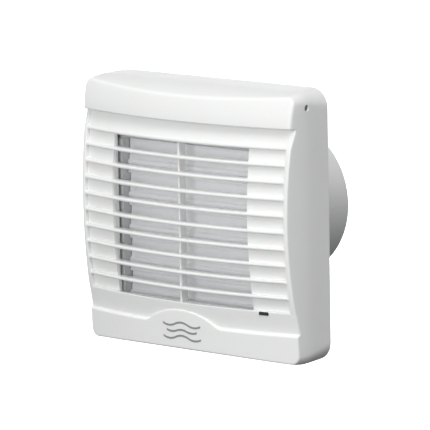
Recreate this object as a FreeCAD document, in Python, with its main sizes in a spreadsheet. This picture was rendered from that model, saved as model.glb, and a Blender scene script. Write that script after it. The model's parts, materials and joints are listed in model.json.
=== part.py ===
import FreeCAD, Part
import Sketcher
import math
import os

# Wall fan for a round duct. A deep pillow-shaped front cover with a louvred grille hides a shutter of five
# linked blades, and behind it an axial fan stands in the duct spigot.
# Frame: X to the right as seen from the room, Y into the wall, Z up, millimetres. The origin is the duct
# axis where it crosses the wall face. "Depth" is a distance from the wall towards the room, so y = -depth.

V = FreeCAD.Vector
doc = FreeCAD.newDocument("DuctFan")

DRIVING = {
    # front cover: outside
    "casing": 170.0,            # side of the square outline at the wall
    "corner_round": 12.6,       # corner radius at the wall
    "corner_round_front": 4.0,  # corner radius at the front of the drafted block
    "block_reach": 50.0,        # depth of the drafted block
    "block_front": 165.0,       # side of the drafted block at its front
    "cover_gap": 0.4,           # cover's rear edge stands this far off the wall
    "skin": 2.2,                # wall thickness of the cover
    "roll_start": 20.0,         # depth where the sides begin to roll inwards
    "roll_start_half": 84.5,
    "side_roll_half": 78.9,
    "side_roll_round": 171.0,
    "top_roll_half": 76.5,
    "top_roll_round": 103.0,
    # front cover: face
    "bulge": 48.4,              # depth of the bars at the middle, the proudest point
    "bow_round": 325.0,         # radius of the face from side to side
    "bow_sweep": 40.0,          # angle that the face is swept through
    "crown_round": 293.0,       # radius of the grille from top to bottom
    "crown_z": 5.7,             # height where the grille is proudest
    "chin_low_depth": 40.2,     # the chin's face leans forward as it rises
    "chin_top": -65.0,
    "step_z": -63.8,            # foot of the step above the chin
    "step_depth": 39.8,
    "ledge_foot": -53.0,
    "brow_low": 63.4,
    "brow_low_depth": 45.1,
    "brow_back_depth": 40.6,
    "brow_top": 80.0,
    "brow_top_depth": 42.0,
    "brow_round": 60.0,
    "beyond": 92.0,             # any height outside the casing
    # grille
    "bar_count": 11.0,
    "bar_top": 51.5,            # height of the highest bar
    "bar_pitch": 10.28,
    "bar_thick": 2.2,
    "bar_nose": 0.9,            # width of the flat along a bar's front edge
    "bar_nose_depth": 0.8,
    "bar_deep": 7.0,
    "pocket_deep": 3.0,         # grille field behind the bar fronts
    "rim_half": 79.4,           # inner edge of the side rims
    "window_half": 53.4,
    "panel_foot": 53.4,
    "panel_round": 18.0,
    "rib_wide": 1.4,
    "rib_front": 41.6,
    "rib_back": 35.6,
    # badge and its mark
    "badge_half": 30.0,
    "badge_shoulder": 22.4,
    "badge_shoulder_z": -60.9,
    "badge_crown": 46.0,
    "badge_flare": 19.0,
    "badge_foot": -64.6,
    "badge_depth": 42.6,        # depth of the chin's plane where it would meet the ledge
    "mark_half": 15.0,
    "mark_pitch": 4.2,
    "mark_thick": 1.3,
    "mark_low": -73.6,
    "mark_wave": 11.0,
    "mark_proud": 0.12,
    # indicator
    "lens_left": 59.2,
    "lens_right": 68.0,
    "lens_low": -52.9,
    "lens_high": -49.7,
    "lens_proud": 0.35,
    "lens_deep": 2.6,
    "pipe_x": 66.4,
    "pipe_z": -51.3,
    "pipe_round": 1.4,
    # side dimples with the cover screws
    "dimple_depth": 20.6,
    "dimple_z": 75.3,
    "dimple_round": 1.9,
    "dimple_floor": 82.9,
    "boss_inner": 80.2,
    "boss_round": 3.4,
    "cover_pilot": 1.15,
    "pipe_play": 0.1,
    "pipe_end": 11.0,
    "pipe_hole_end": 28.0,
    "step_slope": 0.4,          # the ledge leans in this much towards its foot
    "field_skin": 5.2,          # from the bar fronts to the back of the grille field
    "mark_step": 3.0,           # the middle stroke is this much shorter at each end
    # housing
    "tray_half": 79.9,
    "tray_round": 9.0,
    "plate": 2.5,
    "tray_wall": 1.5,
    "tray_deep": 15.0,
    "spigot_round": 49.0,
    "spigot_bore": 47.0,
    "spigot_long": 67.1,
    "lip_depth": 8.0,
    "lip_bore": 50.4,
    "lip_round": 52.4,
    "lip_curve": 9.0,
    "groove_first": 5.0,
    "groove_pitch": 4.5,
    "groove_wide": 2.0,
    "groove_deep": 0.9,
    "wall_hole_place": 74.5,
    "wall_hole": 2.2,
    "seal_inner": 56.0,
    "seal_outer": 66.0,
    "seal_thick": 1.0,
    # spigot and back plate details
    "lip_seat": 1.0,            # where the lip's outside meets the plate, off the wall
    "groove_slope": 0.4,
    "edge_break": 0.8,
    "seal_play": 0.1,
    "bite": 0.3,                # how deep a post starts in the plate
    "lead_slot": 1.3,
    "lead_slot_depth": 4.9,
    "lug_inner": 76.0,
    "lug_outer": 79.6,
    "lug_depth": 25.0,
    "lug_below": 4.0,
    "lug_above": 3.0,
    "lug_slot": 1.4,
    # posts, pilots and screws
    "frame_post": 4.0,
    "board_post": 2.6,
    "board_post_x": 32.0,
    "lamp_post": 2.2,
    "lamp_post_x": 72.6,
    "lamp_post_inset": 3.0,
    "clamp_post": 2.7,
    "spring_post_depth": 21.0,
    "large_pilot": 1.3,
    "small_pilot": 1.05,
    "pilot_end": 9.0,           # depth where the pilots in the long posts end
    "pilot_skin": 0.9,          # what a short post's pilot leaves at the wall
    "large_hole": 1.45,
    "small_hole": 1.2,
    "large_screw": 1.25,
    "small_screw": 1.0,
    "cover_screw_long": 6.0,
    "clamp_screw_long": 9.0,
    "frame_screw_long": 12.0,
    "strap_screw_long": 9.0,
    "board_screw_long": 5.0,
    "bridge_screw_long": 10.0,
    # motor and its holder
    "holder_bore": 27.4,
    "holder_round": 29.6,
    "holder_front": 30.0,
    "holder_back": 50.0,
    "arm_thick": 2.6,
    "arm_front": 33.0,
    "arm_back": 46.0,
    "can_round": 24.0,
    "can_front": 24.0,
    "can_back": 56.0,
    "can_skin": 1.2,
    "cap_front": 22.0,
    "bush_wide": 5.0,
    "shaft_round": 2.0,
    "shaft_front": -6.0,
    "shaft_back": 54.0,
    "running": 0.04,
    "bearing_round": 5.0,
    "bearing_long": 6.0,
    "clamp_ear": 32.0,
    "clamp_thick": 2.0,
    "clamp_play": 0.4,
    "ear_round": 2.8,
    "ear_deep": 12.0,
    "ear_pilot": 9.0,
    "can_collar": 1.5,          # thickness of the collars round the bearings
    "cap_collar": 2.0,
    "cap_spigot": 1.5,
    "core_front": 33.0,
    "core_back": 46.0,
    "core_bore": 12.2,
    "core_slot": 1.6,
    "core_slot_top": 19.5,
    "coil_round": 21.0,
    "coil_bore": 13.4,
    "coil_front": 29.5,
    "coil_back": 48.8,
    "rotor_round": 11.7,
    "rotor_past": 0.5,
    # impeller
    "hub_round": 16.5,
    "hub_front": -3.5,
    "hub_back": 14.0,
    "hub_skin": 2.0,
    "fan_blades": 7.0,
    "fan_mid_y": 5.2,
    "vane_half": 0.8,           # half a vane's thickness
    "sleeve_round": 4.5,
    "nose_flat": 10.5,
    "nose_round": 9.0,
    "nose_deep": 5.0,
    "shaft_chamfer": 0.4,
    "clip_round": 3.8,
    "clip_thick": 0.8,
    "clip_mouth": 1.5,
    # shutter
    "blade_pitch": 20.8,
    "blade_top_pivot": 31.1,
    "pivot_depth": 25.0,
    "blade_half": 53.0,
    "blade_thick": 1.5,
    "blade_up": 14.8,
    "blade_down": 7.0,
    "blade_tilt": -5.5,           # the lower edge leans forward, in front of the next blade
    "axle_round": 1.5,
    "bead_round": 2.0,
    "lip_proud": 0.5,
    "lip_tall": 1.4,
    "stub_past": 0.2,
    "frame_inner": 53.6,
    "frame_outer": 57.2,
    "frame_front": 31.6,
    "frame_back": 20.0,
    "frame_end_front": 30.0,    # the frame's top and bottom stand back from its sides
    "frame_lug": 4.5,
    "frame_lug_front": 23.0,
    "frame_top": 51.0,
    "frame_top_inner": 47.2,
    "frame_low": -64.2,
    "frame_low_inner": -60.6,
    "crank_left": 57.9,
    "crank_right": 60.4,
    "crank_arm": 9.0,
    "crank_swing": 37.5,
    "crank_hub": 3.2,
    "crank_eye": 2.6,
    "crank_web": 2.0,
    "pin_round": 1.5,
    "pin_end": 63.2,
    "link_left": 60.7,
    "link_right": 62.9,
    "link_wide": 6.0,
    "link_low": -51.0,
    "link_high": 47.4,
    "link_hole_play": 0.3,
    "drive_pin_z": 45.0,
    "drive_pin_end": 68.0,
    "pin_sink": 0.5,
    "peg_past": 1.5,
    "fork_left": 63.7,
    "fork_right": 67.5,
    "fork_slot": 4.0,
    "fork_low": 40.4,
    "fork_high": 49.6,
    "fork_half": 6.0,
    "slot_front": 2.2,          # how far the fork's slot runs each way from the pin
    "slot_back": 4.2,
    "actuator_x": 65.0,
    "actuator_depth": 17.0,
    "actuator_low": 57.0,
    "actuator_high": 78.2,
    "actuator_round": 7.0,
    "rod_round": 2.5,
    "rod_top": 74.5,
    "gland_left": 69.0,
    "gland_right": 73.0,
    "gland_front": 12.0,
    "gland_back": 5.0,
    "gland_high": 60.5,
    "saddle_half": 5.5,
    "saddle_sink": 4.2,
    "saddle_low": 62.0,
    "saddle_high": 70.0,
    "strap_low": 63.0,
    "strap_high": 69.0,
    "strap_half": 13.4,
    "strap_thick": 1.2,
    "strap_foot": 1.5,
    "strap_reach": 10.6,        # from the actuator's middle to the strap's screws
    "strap_z": 66.0,
    "spring_x": 66.0,
    "spring_post_z": 8.0,
    "spring_peg_z": -20.0,
    "spring_high": 3.6,         # top and foot of the winding
    "spring_low": -16.4,
    "spring_post": 1.6,         # radius of the post
    "spring_peg": 1.1,
    "spring_round": 2.1,
    "spring_wire": 0.35,
    "spring_turns": 12.0,
    # electrics
    "board_half": 36.0,
    "board_low": -78.0,
    "board_high": -57.0,
    "board_back": 5.4,
    "board_thick": 1.6,
    "lamp_board_left": 58.0,
    "lamp_board_right": 75.0,
    "lamp_board_low": -60.0,
    "lamp_board_high": -44.0,
    "led_round": 1.5,
    "led_flange": 1.9,
    "led_tall": 3.4,
    "led_skirt": 0.6,
    "terminal_left": -29.0,
    "terminal_low": -76.0,
    "terminal_pitch": 7.5,
    "terminal_deep": 11.0,
    "terminal_tall": 12.0,
    "terminal_screw_up": 6.5,
    "terminal_hole": 2.2,
    "terminal_head": 1.9,
    "terminal_head_tall": 2.1,
    "terminal_slot": 0.3,
    "terminal_slot_floor": 1.5,
    "cage_half": 2.0,
    "cage_front": 7.5,
    "cage_back": 3.5,
    "cage_low": 3.0,
    "cage_high": 9.0,
    "cage_skin": 0.7,
    "timer_x": 27.0,
    "timer_z": -69.5,
    "timer_half": 3.5,
    "timer_tall": 3.6,
    "timer_floor": 1.2,
    "knob_round": 2.6,
    "knob_play": 0.05,
    "knob_tall": 4.4,
    "knob_slot": 0.4,
    "knob_slot_long": 2.2,
    # cable entry and leads
    "grommet_x": -66.0,
    "grommet_z": -62.0,
    "grommet_hole": 6.0,
    "grommet_bore": 3.75,
    "grommet_play": 0.05,
    "grommet_flange": 8.0,
    "grommet_slope": 1.0,
    "grommet_inside": 4.6,
    "grommet_outside": 0.2,
    "clamp_z": -47.0,           # height of the clamp over the cable
    "bridge_half": 11.5,
    "bridge_tall": 3.0,
    "bridge_depth": 9.0,
    "bridge_thick": 3.0,
    "bridge_corner": 2.4,
    "bridge_screw_x": 8.0,
    "anvil_half": 4.0,
    "anvil_depth": 6.0,
    "cable_groove": 3.4,
    "cable_groove_sink": 1.4,
    "lead_round": 0.8,
    "lead_depth": 6.2,
    "lead_play": 0.25,
    "lead_back": 54.0,
    "feed_x": 77.0,             # the actuator's lead runs up the right-hand side
    "feed_z": -61.6,
    "feed_top": 58.5,
    "lamp_feed_z": -58.9,
}


class Size:
    """A number together with the sheet formula that gives it."""

    def __init__(self, number, formula):
        self.number = number
        self.formula = formula

    def __add__(self, other):
        other = size_of(other)
        return Size(self.number + other.number, f"({self.formula} + {other.formula})")

    def __sub__(self, other):
        other = size_of(other)
        return Size(self.number - other.number, f"({self.formula} - {other.formula})")

    def __mul__(self, other):
        other = size_of(other)
        return Size(self.number * other.number, f"({self.formula} * {other.formula})")

    def __truediv__(self, other):
        other = size_of(other)
        return Size(self.number / other.number, f"({self.formula} / {other.formula})")

    def __neg__(self):
        return Size(-self.number, f"(0 - {self.formula})")

    def __radd__(self, other):
        return size_of(other) + self

    def __rsub__(self, other):
        return size_of(other) - self

    def __rmul__(self, other):
        return size_of(other) * self


def size_of(value):
    if isinstance(value, Size):
        return value
    return Size(float(value), f"{float(value):.6f}")


def sine(angle):
    angle = size_of(angle)
    return Size(math.sin(math.radians(angle.number)), f"sin({angle.formula} * 1 deg)")


def cosine(angle):
    angle = size_of(angle)
    return Size(math.cos(math.radians(angle.number)), f"cos({angle.formula} * 1 deg)")


def root(value):
    return Size(math.sqrt(value.number), f"sqrt({value.formula})")


class Dimensions:
    """The driving dimensions, read back from the sheet by name."""

    def __init__(self, driving):
        self.sheet = doc.addObject("Spreadsheet::Sheet", "Dims")
        for row, (alias, number) in enumerate(driving.items(), start=1):
            self.sheet.set(f"A{row}", str(number))
            self.sheet.setAlias(f"A{row}", alias)
        doc.recompute()

    def __getattr__(self, alias):
        return Size(float(self.sheet.get(alias)), f"Dims.{alias}")


dim = Dimensions(DRIVING)
nodes = []

# Turns a local frame so that its third axis lies along the named axis.
ALONG = {
    "x": FreeCAD.Rotation(V(0, 1, 0), 90),
    "y": FreeCAD.Rotation(V(1, 0, 0), -90),
    "z": FreeCAD.Rotation(),
}
# Sketch planes: the sketch's own axes, then the axis that a prism on it runs along.
PLANES = {
    "xy": (FreeCAD.Rotation(), V(0, 0, 1), "z"),
    "xz": (FreeCAD.Rotation(V(1, 0, 0), 90), V(0, 1, 0), "y"),
    "yz": (FreeCAD.Rotation(V(1, 1, 1), 120), V(1, 0, 0), "x"),
}
OTHER_AXES = {"x": "yz", "y": "xz", "z": "xy"}


def bind(thing, **sizes):
    for name, value in sizes.items():
        thing.setExpression(name, size_of(value).formula)


def place(thing, x=0.0, y=0.0, z=0.0, turn=None):
    """Turns a thing about its own origin, then moves that origin to x, y, z."""
    thing.Placement = FreeCAD.Placement(V(0, 0, 0), turn or FreeCAD.Rotation())
    for axis, value in (("x", x), ("y", y), ("z", z)):
        thing.setExpression(f"Placement.Base.{axis}", size_of(value).formula)
    return thing


def block(x, y, z):
    """A box between two sizes along each axis."""
    box = doc.addObject("Part::Box", "Block")
    bind(box, Length=size_of(x[1]) - x[0], Width=size_of(y[1]) - y[0], Height=size_of(z[1]) - z[0])
    return place(box, x[0], y[0], z[0])


def rod(axis, radius, centre, span):
    """A cylinder along an axis, centred at the two other coordinates, between two sizes."""
    cylinder = doc.addObject("Part::Cylinder", "Rod")
    bind(cylinder, Radius=radius, Height=size_of(span[1]) - span[0])
    spot = dict(zip(OTHER_AXES[axis], centre))
    spot[axis] = span[0]
    return place(cylinder, spot["x"], spot["y"], spot["z"], ALONG[axis])


def joined(*things):
    fuse = doc.addObject("Part::MultiFuse", "Joined")
    fuse.Shapes = list(things)
    return fuse


def cut(base, *tools):
    result = doc.addObject("Part::Cut", "Cut")
    result.Base = base
    result.Tool = tools[0] if len(tools) == 1 else joined(*tools)
    return result


def shared(*things):
    common = doc.addObject("Part::MultiCommon", "Shared")
    common.Shapes = list(things)
    return common


def group(*things):
    compound = doc.addObject("Part::Compound", "Group")
    compound.Links = list(things)
    return compound


def tube(axis, outer, inner, centre, span):
    return cut(rod(axis, outer, centre, span), rod(axis, inner, centre, span))


class Bend:
    """In an outline, makes the edge after the last corner an arc. A positive radius turns left."""

    def __init__(self, radius):
        self.radius = size_of(radius)


def arc_between(first, last, radius):
    """The arc of a circle from one point to another, shorter than half a turn."""
    chord = last - first
    left = V(-chord.y, chord.x, 0).normalize()
    height = math.sqrt(radius ** 2 - (chord.Length / 2) ** 2)
    centre = (first + last) * 0.5 + left * math.copysign(height, radius)
    turns = [math.atan2(spot.y - centre.y, spot.x - centre.x) for spot in (first, last)]
    if radius < 0:
        turns.reverse()
    return Part.ArcOfCircle(Part.Circle(centre, V(0, 0, 1), abs(radius)), *turns)


def draw(sketch, outline):
    """Draws a closed outline whose corners and radii are all bound to the sheet."""
    corners = []
    bends = []
    for item in outline:
        if isinstance(item, Bend):
            bends[-1] = item.radius
        else:
            corners.append((size_of(item[0]), size_of(item[1])))
            bends.append(None)
    points = [V(across.number, up.number, 0) for across, up in corners]
    ends = []
    for edge, bend in enumerate(bends):
        following = points[(edge + 1) % len(points)]
        if bend is None:
            sketch.addGeometry(Part.LineSegment(points[edge], following), False)
            ends.append((1, 2))
        else:
            sketch.addGeometry(arc_between(points[edge], following, bend.number), False)
            ends.append((1, 2) if bend.number > 0 else (2, 1))
    for edge, bend in enumerate(bends):
        following = (edge + 1) % len(points)
        sketch.addConstraint(
            Sketcher.Constraint("Coincident", edge, ends[edge][1], following, ends[following][0])
        )
        for kind, value in zip(("DistanceX", "DistanceY"), corners[edge]):
            spot = Sketcher.Constraint(kind, -1, 1, edge, ends[edge][0], value.number)
            number = sketch.addConstraint(spot)
            sketch.setExpression(f"Constraints[{number}]", value.formula)
        if bend is not None:
            number = sketch.addConstraint(Sketcher.Constraint("Radius", edge, abs(bend.number)))
            size = bend if bend.number > 0 else -bend
            sketch.setExpression(f"Constraints[{number}]", size.formula)
    return sketch


def sketch_on(plane, outline, offset=0.0):
    """A sketch on a world plane, moved along the plane's axis."""
    turn, _, axis = PLANES[plane]
    sketch = draw(doc.addObject("Sketcher::SketchObject", "Outline"), outline)
    return place(sketch, turn=turn, **{axis: offset})


def prism(plane, outline, span):
    """An outline carried along the plane's axis between two sizes."""
    extrusion = doc.addObject("Part::Extrusion", "Prism")
    extrusion.Base = sketch_on(plane, outline, span[0])
    extrusion.DirMode = "Custom"
    extrusion.Dir = PLANES[plane][1]
    extrusion.Solid = True
    bind(extrusion, LengthFwd=size_of(span[1]) - span[0])
    return extrusion


def turned(outline, x=0.0, z=0.0):
    """An outline of radius and y, turned about a line along Y."""
    revolution = doc.addObject("Part::Revolution", "Turned")
    revolution.Source = sketch_on("xy", outline)
    revolution.Axis = V(0, 1, 0)
    revolution.Angle = 360
    revolution.Solid = True
    return place(revolution, x=x, z=z)


def bowed(outline):
    """An outline of depth and height, swept about the upright axis that the cover's face bows around.

    Depth runs against Y, so the outline is mirrored, and its bends with it.
    """
    revolution = doc.addObject("Part::Revolution", "Bowed")
    corners = [
        Bend(-item.radius) if isinstance(item, Bend) else (-size_of(item[0]), item[1]) for item in outline
    ]
    revolution.Source = sketch_on("yz", corners)
    revolution.Axis = V(0, 0, 1)
    revolution.Symmetric = True
    revolution.Solid = True
    bind(revolution, Angle=dim.bow_sweep)
    revolution.setExpression("Base.y", (dim.bow_round - dim.bulge).formula)
    return revolution


def rounded(thing, axis, radius, radius_at_low_end=None):
    """Rounds the edges that run along an axis; the radius may change from end to end."""
    doc.recompute()
    fillet = doc.addObject("Part::Fillet", "Rounded")
    fillet.Base = thing
    low = size_of(radius if radius_at_low_end is None else radius_at_low_end).number
    high = size_of(radius).number
    picked = []
    for number, edge in enumerate(thing.Shape.Edges, start=1):
        first, last = (getattr(vertex.Point, axis) for vertex in (edge.Vertexes[0], edge.Vertexes[-1]))
        if abs(last - first) > edge.Length * 0.9:
            picked.append((number, low, high) if first < last else (number, high, low))
    fillet.Edges = picked
    return fillet


def node(thing, label):
    """Names a finished sub-part."""
    thing.Label = label
    nodes.append(thing)
    return thing


def attached(body, plane, outline, offset=0.0):
    """A sketch inside a body, on one of its origin planes."""
    sketch = body.newObject("Sketcher::SketchObject", "Section")
    base = next(item for item in body.Origin.OriginFeatures if item.Role == plane)
    sketch.AttachmentSupport = [(base, "")]
    sketch.MapMode = "FlatFace"
    sketch.setExpression("AttachmentOffset.Base.z", size_of(offset).formula)
    return draw(sketch, outline)


def turned_feature(body, kind, sketch):
    """A full Revolution or Groove about the sketch's upright axis."""
    feature = body.newObject(f"PartDesign::{kind}", kind)
    feature.Profile = sketch
    feature.ReferenceAxis = (sketch, ["V_Axis"])
    feature.Angle = 360
    return feature


def screw(radius, length, spot, turn):
    """A pan-head screw with a cross recess. Its head's seat is at spot; its head points along local Z."""
    head = radius * 1.75
    tall = radius * 1.1
    slot = radius * 0.2
    reach = radius * 0.95
    body = doc.addObject("PartDesign::Body", "Screw")
    profile = [(0, -length), (radius * 0.5, -length), (radius, radius - length), (radius, 0),
               (head, 0), (head, tall * 0.5), (head * 0.78, tall), (0, tall)]
    turned_feature(body, "Revolution", attached(body, "XZ_Plane", profile))
    cross = [(-slot, -reach), (slot, -reach), (slot, -slot), (reach, -slot), (reach, slot), (slot, slot),
             (slot, reach), (-slot, reach), (-slot, slot), (-reach, slot), (-reach, -slot), (-slot, -slot)]
    recess = body.newObject("PartDesign::Pocket", "Recess")
    recess.Profile = attached(body, "XY_Plane", cross, tall)
    bind(recess, Length=tall * 0.7)
    return place(body, *spot, turn=turn)


ROOMWARD = FreeCAD.Rotation(V(1, 0, 0), 90)
LEFTWARD = FreeCAD.Rotation(V(0, 1, 0), -90)
RIGHTWARD = FreeCAD.Rotation(V(0, 1, 0), 90)


# ---- front cover ----

def crown(z, inset=0.0):
    """Depth of the grille's crowned front at a height, on the middle plane."""
    rise = dim.crown_round * dim.crown_round - (z - dim.crown_z) * (z - dim.crown_z)
    return dim.bulge - dim.crown_round + root(rise) - inset


def bow_drop(x):
    """How far the bowed face has fallen back at a distance from the middle plane."""
    return dim.bow_round - root(dim.bow_round * dim.bow_round - x * x)


PAST = 1.0              # how far a cutting form runs past what it cuts
FAR_PAST = 4.0          # the same, past a face that bows away
BROW_EASE = 1.5         # how far under the brow the panel's slope ends
BROW_SHADOW = 0.5       # gap between the sunk panel's top and the brow
BROW_THIN = 0.6         # how much thicker than the skin the brow's lower edge is
PANEL_SUNK = 0.8        # how far the panel under the brow is sunk behind the rims
BAR_TAPER = 0.8         # how much of a bar's thickness is left at its back
BAR_BITE = 0.6          # how far the bars run into the rims
BADGE_BITE = 2.0        # how far the badge's pad runs into the chin
FORM_BACK = 20.0        # depth that the flat forms of the face's details reach back to
WINDOW_BACK = 30.0      # depth that the window's cutting form reaches back to


def side_profile(half, roll_half, roll_round, inset, back, plane):
    """Outline of the casing across one direction: straight near the wall, then rolling inwards."""
    wall = size_of(half) - inset
    start = dim.roll_start_half - inset
    front = size_of(roll_half) - inset
    reach = -dim.block_reach
    roll = Bend(-size_of(roll_round)) if plane == "xy" else Bend(roll_round)
    corners = [(wall, back), (start, -dim.roll_start), roll, (front, reach), (-front, reach), roll,
               (-start, -dim.roll_start), (-wall, back)]
    if plane == "xy":
        return corners
    return [item if isinstance(item, Bend) else (item[1], item[0]) for item in corners]


def casing_block(inset, back):
    """The casing's outer volume before its face is shaped, made smaller by an inset."""
    half = dim.casing / 2
    wedge = doc.addObject("Part::Wedge", "Draft")
    wall = half - inset
    front = dim.block_front / 2 - inset
    bind(wedge, Ymin=-dim.block_reach, Ymax=back)
    bind(wedge, Xmin=-front, Xmax=front, Zmin=-front, Zmax=front)
    bind(wedge, X2min=-wall, X2max=wall, Z2min=-wall, Z2max=wall)
    block_form = rounded(wedge, "y", dim.corner_round - inset, dim.corner_round_front)
    sides = side_profile(half, dim.side_roll_half, dim.side_roll_round, inset, back, "xy")
    top = side_profile(half, dim.top_roll_half, dim.top_roll_round, inset, back, "yz")
    across = (-dim.beyond, dim.beyond)
    return shared(block_form, prism("xy", sides, across), prism("yz", top, across))


def bar_height(number):
    return dim.bar_top - dim.bar_pitch * number


def chin_face(z):
    """Depth of the chin's leaning face at a height, on the middle plane."""
    rise = (size_of(z) + dim.beyond) / (dim.ledge_foot + dim.beyond)
    return dim.chin_low_depth + (dim.badge_depth - dim.chin_low_depth) * rise


def face_form():
    """The cover's outer face, from below the chin to above the brow."""
    ledge = bar_height(dim.bar_count - 1)
    return bowed([
        (-FAR_PAST, -dim.beyond), (dim.chin_low_depth, -dim.beyond), (chin_face(dim.chin_top), dim.chin_top),
        (dim.step_depth, dim.step_z), (crown(ledge, dim.step_slope), dim.ledge_foot), (crown(ledge), ledge),
        Bend(dim.crown_round), (crown(dim.bar_top), dim.bar_top),
        (dim.brow_back_depth, dim.brow_low - BROW_EASE), (dim.brow_back_depth, dim.brow_low),
        (dim.brow_low_depth, dim.brow_low), Bend(dim.brow_round), (dim.brow_top_depth, dim.brow_top),
        (dim.brow_top_depth - PAST, dim.beyond), (-FAR_PAST, dim.beyond),
    ])


def face_hollow():
    """The space behind the face, one skin inside it."""
    ledge = bar_height(dim.bar_count - 1)
    field = dim.field_skin
    return bowed([
        (-2 * FAR_PAST, -dim.beyond), (dim.chin_low_depth - dim.skin, -dim.beyond),
        (chin_face(dim.chin_top) - dim.skin, dim.chin_top - dim.skin),
        (dim.step_depth - dim.skin, dim.step_z), (crown(ledge, field), ledge),
        Bend(dim.crown_round - field), (crown(dim.bar_top, field), dim.bar_top),
        (dim.brow_back_depth - dim.skin, dim.brow_low + PAST),
        (dim.brow_low_depth - dim.skin - BROW_THIN, dim.brow_low + dim.skin),
        (dim.brow_top_depth - dim.skin, dim.brow_top - PAST),
        (dim.brow_top_depth - dim.skin - PAST, dim.beyond), (-2 * FAR_PAST, dim.beyond),
    ])


def face_recess():
    """What is sunk into the face between the side rims: the grille field and the panel under the brow."""
    low = bar_height(dim.bar_count - 1) + dim.bar_thick / 2
    field_top = dim.bar_top + dim.bar_thick / 2
    proud = dim.bulge + 2 * FAR_PAST
    under_brow = dim.brow_low - BROW_SHADOW
    sunk = bowed([
        (proud, low), (proud, under_brow), (dim.brow_back_depth - PANEL_SUNK, under_brow),
        Bend(dim.panel_round), (crown(dim.panel_foot, PANEL_SUNK), dim.panel_foot),
        (crown(field_top, dim.pocket_deep), field_top), Bend(-(dim.crown_round - dim.pocket_deep)),
        (crown(low, dim.pocket_deep), low),
    ])
    between_rims = block((-dim.rim_half, dim.rim_half), (-proud - FAR_PAST, 0), (-dim.beyond, dim.beyond))
    return shared(sunk, between_rims)


def bar(number):
    """One grille bar: a slat with a blunt nose, bowed with the face."""
    z = bar_height(number)
    half = dim.bar_thick / 2
    nose = dim.bar_nose / 2
    front = crown(z)
    back = front - dim.bar_deep
    return bowed([
        (back, z - half * BAR_TAPER), (front - dim.bar_nose_depth, z - half), (front, z - nose),
        (front, z + nose), (front - dim.bar_nose_depth, z + half), (back, z + half * BAR_TAPER),
    ])


def grille_bars():
    """All bars but the lowest, which is the ledge of the face itself, trimmed inside the side rims."""
    bars = joined(*[bar(number) for number in range(int(dim.bar_count.number) - 1)])
    reach = dim.rim_half + BAR_BITE
    return shared(bars, block((-reach, reach), (-dim.bulge - FAR_PAST, 0), (-dim.beyond, dim.beyond)))


def grille_zone():
    """The room between the rims, the ledge and the brow that the grille fills."""
    low = bar_height(dim.bar_count - 1) + dim.bar_thick / 2
    heights = (low, dim.brow_low - BROW_SHADOW)
    return block((-dim.rim_half, dim.rim_half), (-dim.bulge - FAR_PAST, 0), heights)


def badge_pad():
    """The arched pad that rises from the chin over the step."""
    foot = dim.chin_top - BADGE_BITE
    back = dim.step_depth - BADGE_BITE
    arch = prism("xz", [
        (-dim.badge_half, foot), (dim.badge_half, foot),
        (dim.badge_half, dim.badge_foot), Bend(-dim.badge_flare),
        (dim.badge_shoulder, dim.badge_shoulder_z), Bend(dim.badge_crown),
        (-dim.badge_shoulder, dim.badge_shoulder_z), Bend(-dim.badge_flare),
        (-dim.badge_half, dim.badge_foot),
    ], (-dim.bulge, -FORM_BACK))
    band = bowed([
        (back, foot), (chin_face(foot), foot), (dim.badge_depth, dim.ledge_foot), (back, dim.ledge_foot),
    ])
    return shared(arch, band)


def lens_space(proud, deep):
    """The indicator's block, bowed with the ledge that it is set in."""
    front = crown(bar_height(dim.bar_count - 1), -proud)
    band = bowed([
        (front - deep - proud, dim.lens_low), (front, dim.lens_low),
        (front, dim.lens_high), (front - deep - proud, dim.lens_high),
    ])
    side = block((dim.lens_left, dim.lens_right), (-dim.bulge, -FORM_BACK), (dim.lens_low, dim.lens_high))
    return shared(band, side)


def front_cover():
    """The casing with its rims, and the grille that fills it between them, as two pieces that meet flush."""
    shell = shared(casing_block(0, -dim.cover_gap), face_form())
    hollow = shared(casing_block(dim.skin, PAST), face_hollow())
    window = block(
        (-dim.window_half, dim.window_half), (-dim.bulge - FAR_PAST, -WINDOW_BACK),
        (bar_height(dim.bar_count - 1) + dim.bar_thick / 2, dim.bar_top),
    )
    rib = block(
        (-dim.rib_wide / 2, dim.rib_wide / 2), (-dim.rib_front, -dim.rib_back),
        (bar_height(dim.bar_count - 1), dim.bar_top + PAST),
    )
    bosses = shared(casing_block(dim.skin, PAST), joined(*[
        rod("x", dim.boss_round, (-dim.dimple_depth, dim.dimple_z), span)
        for span in ((dim.boss_inner, dim.casing / 2), (-dim.casing / 2, -dim.boss_inner))
    ]))
    open_shell = cut(shell, hollow, face_recess(), window)
    solid = joined(open_shell, grille_bars(), rib, badge_pad(), bosses)
    drilled = []
    for side in (-1, 1):
        steps = ((dim.dimple_round, dim.dimple_floor), (dim.cover_pilot, dim.boss_inner - PAST))
        for radius, floor in steps:
            ends = sorted((side * floor, side * dim.casing / 2), key=lambda end: end.number)
            drilled.append(rod("x", radius, (-dim.dimple_depth, dim.dimple_z), ends))
    pocket = lens_space(dim.lens_proud, dim.lens_deep)
    pipe_spot = (dim.pipe_x, dim.pipe_z)
    pipe_hole = rod("y", dim.pipe_round + dim.pipe_play, pipe_spot, (-dim.bulge, -dim.pipe_hole_end))
    whole = cut(solid, pocket, pipe_hole, *drilled)
    node(cut(whole, grille_zone()), "front_cover")
    node(shared(whole, grille_zone()), "front_grille")


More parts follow.
